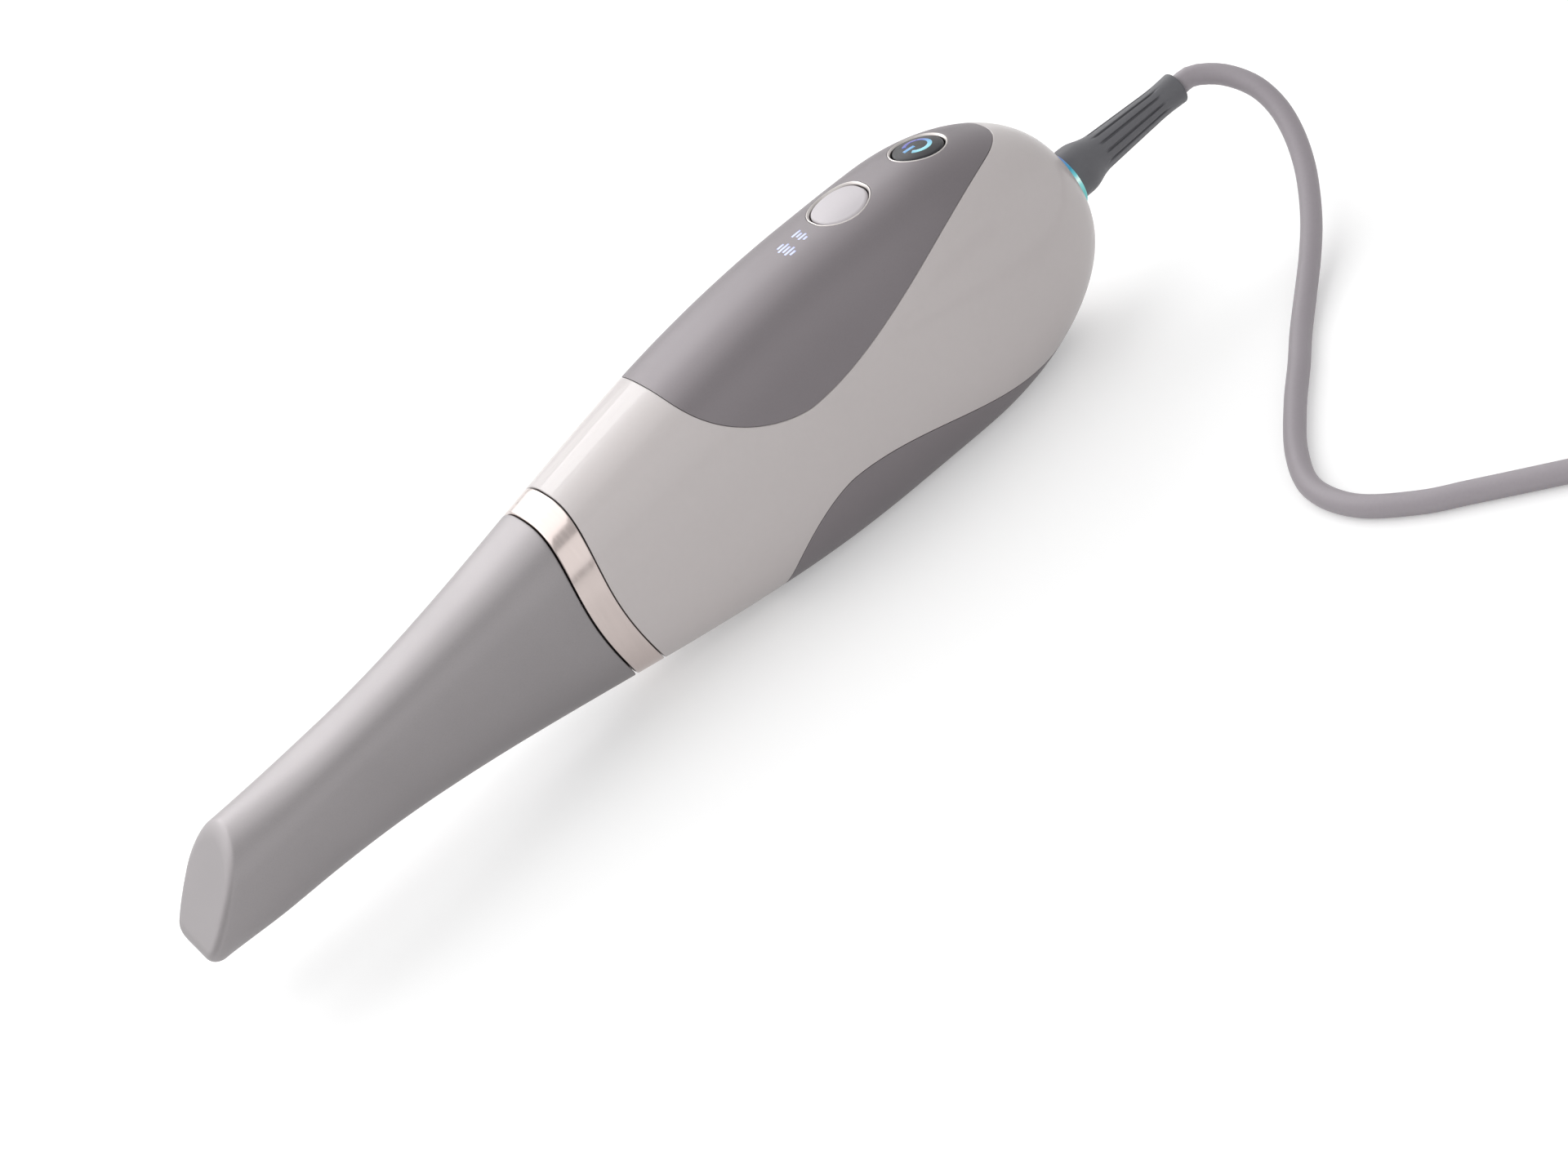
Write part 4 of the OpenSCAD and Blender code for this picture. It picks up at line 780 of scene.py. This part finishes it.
def coil_point(t):
    """A point of the coil after t turns. The layers run inwards and outwards by turns."""
    way = abs(t % (2 * COIL_TURNS) - COIL_TURNS)
    r = COIL_R - COIL_STEP * (COIL_TURNS - way)
    a = HEADING - math.pi / 2 + 2 * math.pi * t
    z = COIL_Z + COIL_STEP * sum(float(smooth((t - k * COIL_TURNS) * 2 + 0.5)) for k in range(1, COIL_LAYERS))
    return np.array([coil_middle[0] + r * math.cos(a), coil_middle[1] + r * math.sin(a), z])


def spline(points, step):
    """Even points on a smooth curve through the given ones."""
    pts = np.array(points, float)
    ends = np.concatenate([[2 * pts[0] - pts[1]], pts, [2 * pts[-1] - pts[-2]]])
    out = []
    for i in range(1, len(ends) - 2):
        p0, p1, p2, p3 = ends[i - 1 : i + 3]
        count = max(2, int(np.linalg.norm(p2 - p1) / step))
        for k in range(count):
            t = k / count
            out.append(0.5 * (2 * p1 + (p2 - p0) * t + (2 * p0 - 5 * p1 + 4 * p2 - p3) * t * t
                              + (3 * p1 - p0 - 3 * p2 + p3) * t ** 3))
    return out + [pts[-1]]


def cord_line():
    """Points of the whole cable in the frame's place, in millimetres, and where the plug starts."""
    lead = [np.array([EXIT[0] + x, y, mix(CORD_R, EXIT[2], s)]) for x, y, s in CORD_STEPS]
    coil = [coil_point(i / COIL_POINTS) for i in range(int(COIL_LAYERS * COIL_TURNS * COIL_POINTS) + 1)]
    leave = coil[-1] + CORD_D * heading
    tail = []
    for far, share in TAIL_STEPS:
        p = leave + far * heading
        tail.append(np.array([p[0], p[1], mix(PLUG_Z, leave[2], share)]))
    line = spline(lead + [coil_from], LINE_STEP)[:-1] + coil[:-1] + spline([coil[-1]] + tail, LINE_STEP)
    return [np.array([x, y, max(z, CORD_R)]) for x, y, z in line], tail[-1]


cord_points, plug_at = cord_line()
cord_points = np.array(cord_points) * MM


def tube(line, radius, sides=18):
    """Rings of a round tube along a line, without twist."""
    step = np.gradient(line, axis=0)
    step /= np.linalg.norm(step, axis=1, keepdims=True)
    side = np.array([0, 1.0, 0])
    a = np.linspace(0, 2 * math.pi, sides, endpoint=False)
    rings = []
    for p, t in zip(line, step):
        side = side - t * (side @ t)
        side /= np.linalg.norm(side)
        over = np.cross(t, side)
        rings.append(p + radius * (np.outer(np.cos(a), side) + np.outer(np.sin(a), over)))
    return rings


cable = add_piece("cable", *loft(tube(cord_points, CORD_R * MM)), "handpiece", "cord_grey",
                  ["cord", "cord_coil", "cord_tail"], mm=False)

RIB_DEEP, RIB_STEP, RIB_FROM, RIB_TO = 0.35, 2.6, 10, 23


def plug_rings():
    """A moulded grip with a soft nub, rounded edges and shallow finger ribs."""
    rings = []
    # Distance, half the width, half the height and how square the section is
    profile = [(0.0, 3.0, 3.0, 2), (0.4, 3.5, 3.5, 2), (5.2, 3.6, 3.6, 2), (6.2, 5.6, 3.8, 2.6), (7.2, 7.3, 3.95, 4)]
    for x in np.arange(8.0, 25.9, 0.5):
        wave = 0.5 - 0.5 * math.cos(2 * math.pi * (x - RIB_FROM) / RIB_STEP)
        rib = RIB_DEEP * smooth((x - RIB_FROM) / 1) * (1 - smooth((x - RIB_TO) / 1)) * wave
        profile.append((x, 7.8 - rib, 4.0 - 0.25 * rib, 5))
    profile += [(26.3, 7.7, 3.9, 5), (26.8, 7.4, 3.6, 5), (27.0, 6.9, 3.1, 5)]
    side = np.array([-heading[1], heading[0], 0])
    a = np.linspace(0, 2 * math.pi, 64, endpoint=False)
    for x, w, h, p in profile:
        r = (np.abs(np.cos(a)) ** p + np.abs(np.sin(a)) ** p) ** (-1 / p)
        rings.append(plug_at + x * heading + np.outer(w * r * np.cos(a), side)
                     + np.outer(h * r * np.sin(a), [0, 0, 1]))
    return rings


points, faces = loft(plug_rings())
plug_body = add_piece("plug_body", np.array(points) * MM, faces, "handpiece", "grip_grey", ["plug_grip"], mm=False)


# Materials


def new_material(name):
    mat = bpy.data.materials.new(name)
    mat.use_nodes = True
    tree = mat.node_tree
    return mat, tree, tree.nodes["Principled BSDF"]


def add_node(tree, kind, **values):
    node = tree.nodes.new(kind)
    for key, value in values.items():
        if hasattr(node, key):
            setattr(node, key, value)
        else:
            node.inputs[key].default_value = value
    return node


def srgb(r, g, b):
    return tuple(c / 12.92 if c <= 0.04045 else ((c + 0.055) / 1.055) ** 2.4 for c in (r, g, b)) + (1.0,)


def finish_of(name, colour, rough, metallic=0.0, grain=900, tone=0.03, rough_by=0.05, bump=0.02, coat=0.0,
              coat_rough=0.05, stretch=(1, 1, 1), glow=None, specular=0.5):
    """A procedural finish: grain in colour, roughness and relief, at a size given in cells per metre."""
    mat, tree, bsdf = new_material(name)
    link = tree.links.new
    place = add_node(tree, "ShaderNodeTexCoord")
    scale = add_node(tree, "ShaderNodeMapping")
    scale.inputs["Scale"].default_value = stretch
    link(place.outputs["Object"], scale.inputs["Vector"])
    noise = add_node(tree, "ShaderNodeTexNoise", Scale=grain, Detail=4.0, Roughness=0.6)
    link(scale.outputs["Vector"], noise.inputs["Vector"])
    broad = add_node(tree, "ShaderNodeTexNoise", Scale=18.0, Detail=2.0)
    link(place.outputs["Object"], broad.inputs["Vector"])
    both = add_node(tree, "ShaderNodeMath", operation="ADD")
    link(noise.outputs["Fac"], both.inputs[0])
    link(broad.outputs["Fac"], both.inputs[1])
    ramp = add_node(tree, "ShaderNodeValToRGB")
    base = np.array(srgb(*colour)[:3])
    ramp.color_ramp.elements[0].position = 0.35
    ramp.color_ramp.elements[1].position = 0.65
    ramp.color_ramp.elements[0].color = (*np.clip(base * (1 - tone), 0, 1), 1)
    ramp.color_ramp.elements[1].color = (*np.clip(base * (1 + tone), 0, 1), 1)
    half = add_node(tree, "ShaderNodeMath", operation="MULTIPLY")
    half.inputs[1].default_value = 0.5
    link(both.outputs[0], half.inputs[0])
    link(half.outputs[0], ramp.inputs["Fac"])
    link(ramp.outputs["Color"], bsdf.inputs["Base Color"])
    span = add_node(tree, "ShaderNodeMapRange")
    span.inputs["From Min"].default_value = 0.3
    span.inputs["From Max"].default_value = 0.7
    span.inputs["To Min"].default_value = max(rough - rough_by, 0.02)
    span.inputs["To Max"].default_value = min(rough + rough_by, 1)
    link(noise.outputs["Fac"], span.inputs["Value"])
    link(span.outputs["Result"], bsdf.inputs["Roughness"])
    relief_node = add_node(tree, "ShaderNodeBump", Strength=bump, Distance=0.0002)
    link(noise.outputs["Fac"], relief_node.inputs["Height"])
    link(relief_node.outputs["Normal"], bsdf.inputs["Normal"])
    bsdf.inputs["Metallic"].default_value = metallic
    bsdf.inputs["Coat Weight"].default_value = coat
    bsdf.inputs["Coat Roughness"].default_value = coat_rough
    bsdf.inputs["Specular IOR Level"].default_value = specular
    if glow:
        bsdf.inputs["Emission Color"].default_value = srgb(*glow[:3])
        bsdf.inputs["Emission Strength"].default_value = glow[3]
    return mat


def glow_along(mat, axis, low, high, stops):
    """Emission that changes colour along an axis of the frame, in metres."""
    tree = mat.node_tree
    place = add_node(tree, "ShaderNodeTexCoord")
    parts = add_node(tree, "ShaderNodeSeparateXYZ")
    tree.links.new(place.outputs["Object"], parts.inputs["Vector"])
    span = add_node(tree, "ShaderNodeMapRange")
    span.inputs["From Min"].default_value = low
    span.inputs["From Max"].default_value = high
    tree.links.new(parts.outputs[axis], span.inputs["Value"])
    ramp = add_node(tree, "ShaderNodeValToRGB")
    while len(ramp.color_ramp.elements) < len(stops):
        ramp.color_ramp.elements.new(0.5)
    for element, (at, colour) in zip(ramp.color_ramp.elements, stops):
        element.position = at
        element.color = srgb(*colour)
    tree.links.new(span.outputs["Result"], ramp.inputs["Fac"])
    tree.links.new(ramp.outputs["Color"], tree.nodes["Principled BSDF"].inputs["Emission Color"])


def glass(name, tint):
    mat, tree, bsdf = new_material(name)
    noise = add_node(tree, "ShaderNodeTexNoise", Scale=160.0, Detail=3.0)
    span = add_node(tree, "ShaderNodeMapRange")
    span.inputs["To Min"].default_value = 0.01
    span.inputs["To Max"].default_value = 0.05
    tree.links.new(noise.outputs["Fac"], span.inputs["Value"])
    tree.links.new(span.outputs["Result"], bsdf.inputs["Roughness"])
    bsdf.inputs["Base Color"].default_value = srgb(*tint)
    bsdf.inputs["Transmission Weight"].default_value = 1
    bsdf.inputs["IOR"].default_value = 1.5
    return mat


def paint(piece, mat):
    piece.data.materials.clear()
    piece.data.materials.append(mat)


white = finish_of("warm_white", (0.77, 0.745, 0.742), 0.4, grain=700, tone=0.012, rough_by=0.03, bump=0.0,
                  coat=0.3, coat_rough=0.02, specular=0.3)
mauve = finish_of("mauve_grey", (0.485, 0.463, 0.475), 0.46, metallic=0.42, grain=2600, tone=0.05,
                  rough_by=0.06, bump=0.05)
silver = finish_of("satin_silver", (0.57, 0.555, 0.56), 0.5, metallic=0.85, grain=3800, tone=0.1,
                   rough_by=0.08, bump=0.06)
# The steel ring's colour is its own pale grey with a warm pink tint; the tint is a painted reflection.
steel = finish_of("steel_ring", (0.77, 0.725, 0.71), 0.2, metallic=1.0, grain=1500, tone=0.04,
                  rough_by=0.04, bump=0.01, stretch=(1, 0.05, 0.05))
pearl = finish_of("pearl", (0.77, 0.75, 0.765), 0.5, grain=1600, tone=0.02, rough_by=0.05, bump=0.02)
charcoal = finish_of("charcoal", (0.165, 0.165, 0.18), 0.42, grain=1600, tone=0.1, rough_by=0.06, bump=0.03,
                     specular=0.35)
bright = finish_of("bright_rim", (0.79, 0.77, 0.76), 0.34, metallic=0.7, grain=1200, tone=0.04,
                   rough_by=0.05, bump=0.02)
rubber = finish_of("grey_rubber", (0.37, 0.37, 0.385), 0.5, grain=1300, tone=0.06, rough_by=0.08, bump=0.06)
cord_skin = finish_of("cord_grey", (0.605, 0.58, 0.6), 0.5, grain=1400, tone=0.04, rough_by=0.06, bump=0.04)
dark_nose = finish_of("dark_plastic", (0.2, 0.2, 0.21), 0.4, grain=1800, tone=0.08, rough_by=0.06, bump=0.05)
grip_skin = finish_of("grip_grey", (0.3, 0.3, 0.31), 0.5, grain=1500, tone=0.06, rough_by=0.07, bump=0.06)
ring_light = finish_of("blue_light", (0.2, 0.4, 0.44), 0.3, grain=500, tone=0.05, glow=(0.3, 0.8, 0.95, 1.0))
GLOW_R, GLOW_HALF = 7, 0.003
glow_along(ring_light, "Z", (AXIS_Z - GLOW_R) * MM, (AXIS_Z + GLOW_R) * MM, [
    (0.0, (0.25, 0.55, 0.53)), (0.42, (0.36, 0.66, 0.64)), (0.56, (0.5, 0.76, 0.75)), (0.64, (0.86, 0.94, 0.91)),
    (0.72, (0.4, 0.72, 0.73)), (0.83, (0.08, 0.48, 0.6)), (1.0, (0.38, 0.36, 0.68))])
symbol_light = finish_of("cyan_light", (0.14, 0.18, 0.3), 0.3, grain=600, tone=0.05, glow=(0.4, 0.75, 0.95, 1.0))
glow_along(symbol_light, "Y", -GLOW_HALF, GLOW_HALF, [
    (0.0, (0.6, 0.88, 0.9)), (0.4, (0.4, 0.68, 0.84)), (0.7, (0.32, 0.42, 0.74)), (1.0, (0.36, 0.28, 0.62))])
mark_light = finish_of("pale_blue_light", (0.74, 0.76, 0.9), 0.4, grain=600, tone=0.04, glow=(0.78, 0.82, 1.0, 0.42))

for piece, mat in (
        (housing, white), (top_cover, mauve), (bottom_cover, mauve), (tip, silver), (collar, steel), (scan_cap, pearl),
        (power_cap, charcoal), (scan_rim, bright), (power_rim, bright), (relief, rubber), (cable, cord_skin),
        (nose, dark_nose), (plug_body, grip_skin), (led_ring, ring_light), (power_mark, symbol_light),
        (level_marks, mark_light)):
    paint(piece, mat)

INNER = {
    "mirror": dict(colour=(0.9, 0.92, 0.93), rough=0.04, metallic=1.0, grain=300, tone=0.01, rough_by=0.02, bump=0.0),
    "dark_metal": dict(colour=(0.3, 0.31, 0.33), rough=0.4, metallic=0.9, grain=1500, tone=0.06, bump=0.04),
    "black_rubber": dict(colour=(0.1, 0.1, 0.1), rough=0.6, grain=1500, tone=0.1, bump=0.06),
    "black_metal": dict(colour=(0.13, 0.13, 0.14), rough=0.38, metallic=0.7, grain=1500, tone=0.08, bump=0.04),
    "plain_metal": dict(colour=(0.72, 0.72, 0.73), rough=0.35, metallic=1.0, grain=1100, tone=0.05, bump=0.04),
    "copper_sink": dict(colour=(0.75, 0.48, 0.33), rough=0.38, metallic=1.0, grain=1100, tone=0.07, bump=0.04),
    "cream_plastic": dict(colour=(0.86, 0.83, 0.74), rough=0.5, grain=1200, tone=0.04, bump=0.04),
    "black_plastic": dict(colour=(0.12, 0.12, 0.13), rough=0.45, grain=1300, tone=0.08, bump=0.05),
    "board_green": dict(colour=(0.1, 0.36, 0.24), rough=0.4, grain=2200, tone=0.15, bump=0.06),
    "amber_film": dict(colour=(0.75, 0.48, 0.16), rough=0.3, grain=900, tone=0.08, bump=0.02),
    "screw_steel": dict(colour=(0.66, 0.66, 0.68), rough=0.3, metallic=1.0, grain=1800, tone=0.06, bump=0.03),
    "plug_steel": dict(colour=(0.76, 0.76, 0.77), rough=0.28, metallic=1.0, grain=1400, tone=0.05, bump=0.03),
    "plug_blue": dict(colour=(0.2, 0.4, 0.72), rough=0.45, grain=1400, tone=0.06, bump=0.04),
}


def dress_inner():
    """Finishes for the CAD nodes that stay, by the record's slots, and a small bevel on their edges."""
    made = {slot: finish_of(slot, **values) for slot, values in INNER.items()}
    made["clear_glass"] = glass("clear_glass", (0.93, 0.97, 0.98))
    slots = {row["node"]: row["material_slot"] for row in frame["record"]["subparts"]}
    for name, node in nodes.items():
        if slots[name] not in made:
            continue
        paint(node, made[slots[name]])
        edge = node.modifiers.new("edge", "BEVEL")
        edge.width = 0.00015
        edge.segments = 2
        edge.limit_method = "ANGLE"
        edge.angle_limit = math.radians(50)


dress_inner()

# Floor, world and lights


def background_rays(tree):
    """1 where the camera, a mirror-like surface or glass looks at the background."""
    path = add_node(tree, "ShaderNodeLightPath")
    total = path.outputs["Is Camera Ray"]
    for name in ("Is Glossy Ray", "Is Transmission Ray"):
        most = add_node(tree, "ShaderNodeMath", operation="MAXIMUM")
        tree.links.new(total, most.inputs[0])
        tree.links.new(path.outputs[name], most.inputs[1])
        total = most.outputs[0]
    return total


def make_floor():
    size = 6.0
    mesh = bpy.data.meshes.new("floor")
    mesh.from_pydata([(-size, -size, 0), (size, -size, 0), (size, size, 0), (-size, size, 0)], [], [(0, 1, 2, 3)])
    floor = bpy.data.objects.new("floor", mesh)
    scene.collection.objects.link(floor)
    mat, tree, bsdf = new_material("floor")
    noise = add_node(tree, "ShaderNodeTexNoise", Scale=40.0, Detail=3.0)
    span = add_node(tree, "ShaderNodeMapRange")
    span.inputs["To Min"].default_value = 0.85
    span.inputs["To Max"].default_value = 0.95
    tree.links.new(noise.outputs["Fac"], span.inputs["Value"])
    tree.links.new(span.outputs["Result"], bsdf.inputs["Roughness"])
    bsdf.inputs["Base Color"].default_value = (0.8, 0.8, 0.8, 1)
    bsdf.inputs["Specular IOR Level"].default_value = 0
    bsdf.inputs["Emission Color"].default_value = (1, 1, 1, 1)
    lift = add_node(tree, "ShaderNodeMath", operation="MULTIPLY")
    lift.inputs[1].default_value = 0.3
    tree.links.new(background_rays(tree), lift.inputs[0])
    tree.links.new(lift.outputs[0], bsdf.inputs["Emission Strength"])
    paint(floor, mat)


make_floor()

FRONT_LEVEL, BACK_LEVEL, SOFT_LEVEL = 0.7, 1.0, 0.54


def make_world():
    """Soft light all round. The camera and glass see white, shiny surfaces a white back and a greyer front."""
    world = bpy.data.worlds.new("studio")
    scene.world = world
    world.use_nodes = True
    tree = world.node_tree
    shade = tree.nodes["Background"]
    place = add_node(tree, "ShaderNodeTexCoord")
    parts = add_node(tree, "ShaderNodeSeparateXYZ")
    tree.links.new(place.outputs["Generated"], parts.inputs["Vector"])
    wall = add_node(tree, "ShaderNodeMapRange")
    for key, value in (("From Min", -0.35), ("From Max", 0.4), ("To Min", FRONT_LEVEL), ("To Max", BACK_LEVEL)):
        wall.inputs[key].default_value = value
    tree.links.new(parts.outputs["Y"], wall.inputs["Value"])
    path = add_node(tree, "ShaderNodeLightPath")
    shiny = add_node(tree, "ShaderNodeMapRange")
    shiny.inputs["To Min"].default_value = SOFT_LEVEL
    tree.links.new(path.outputs["Is Glossy Ray"], shiny.inputs["Value"])
    tree.links.new(wall.outputs["Result"], shiny.inputs["To Max"])
    seen = add_node(tree, "ShaderNodeMath", operation="MAXIMUM")
    tree.links.new(path.outputs["Is Camera Ray"], seen.inputs[0])
    tree.links.new(path.outputs["Is Transmission Ray"], seen.inputs[1])
    blend = add_node(tree, "ShaderNodeMapRange")
    blend.inputs["To Max"].default_value = 1.0
    tree.links.new(seen.outputs[0], blend.inputs["Value"])
    tree.links.new(shiny.outputs["Result"], blend.inputs["To Min"])
    tree.links.new(blend.outputs["Result"], shade.inputs["Strength"])
    shade.inputs["Color"].default_value = (1, 1, 1, 1)


make_world()


def area_light(name, place, target, size, power):
    data = bpy.data.lights.new(name, "AREA")
    data.shape = "RECTANGLE"
    data.size, data.size_y = size
    data.energy = power
    lamp = bpy.data.objects.new(name, data)
    lamp.location = place
    lamp.rotation_euler = (Vector(target) - Vector(place)).to_track_quat("-Z", "Y").to_euler()
    scene.collection.objects.link(lamp)


MIDDLE = (0, 0, 0.03)
area_light("key", (-0.5, 1.0, 0.6), MIDDLE, (1.5, 0.8), 5.2)
area_light("strip", (0.1, 1.15, 0.74), MIDDLE, (1.6, 0.24), 5.4)
area_light("top", (-0.25, 0.45, 1.15), MIDDLE, (1.6, 1.1), 6.0)
area_light("fill", (-0.3, -1.2, 0.8), (0.02, 0, 0.03), (2.2, 1.3), 6.0)

scene.view_settings.view_transform = "Standard"
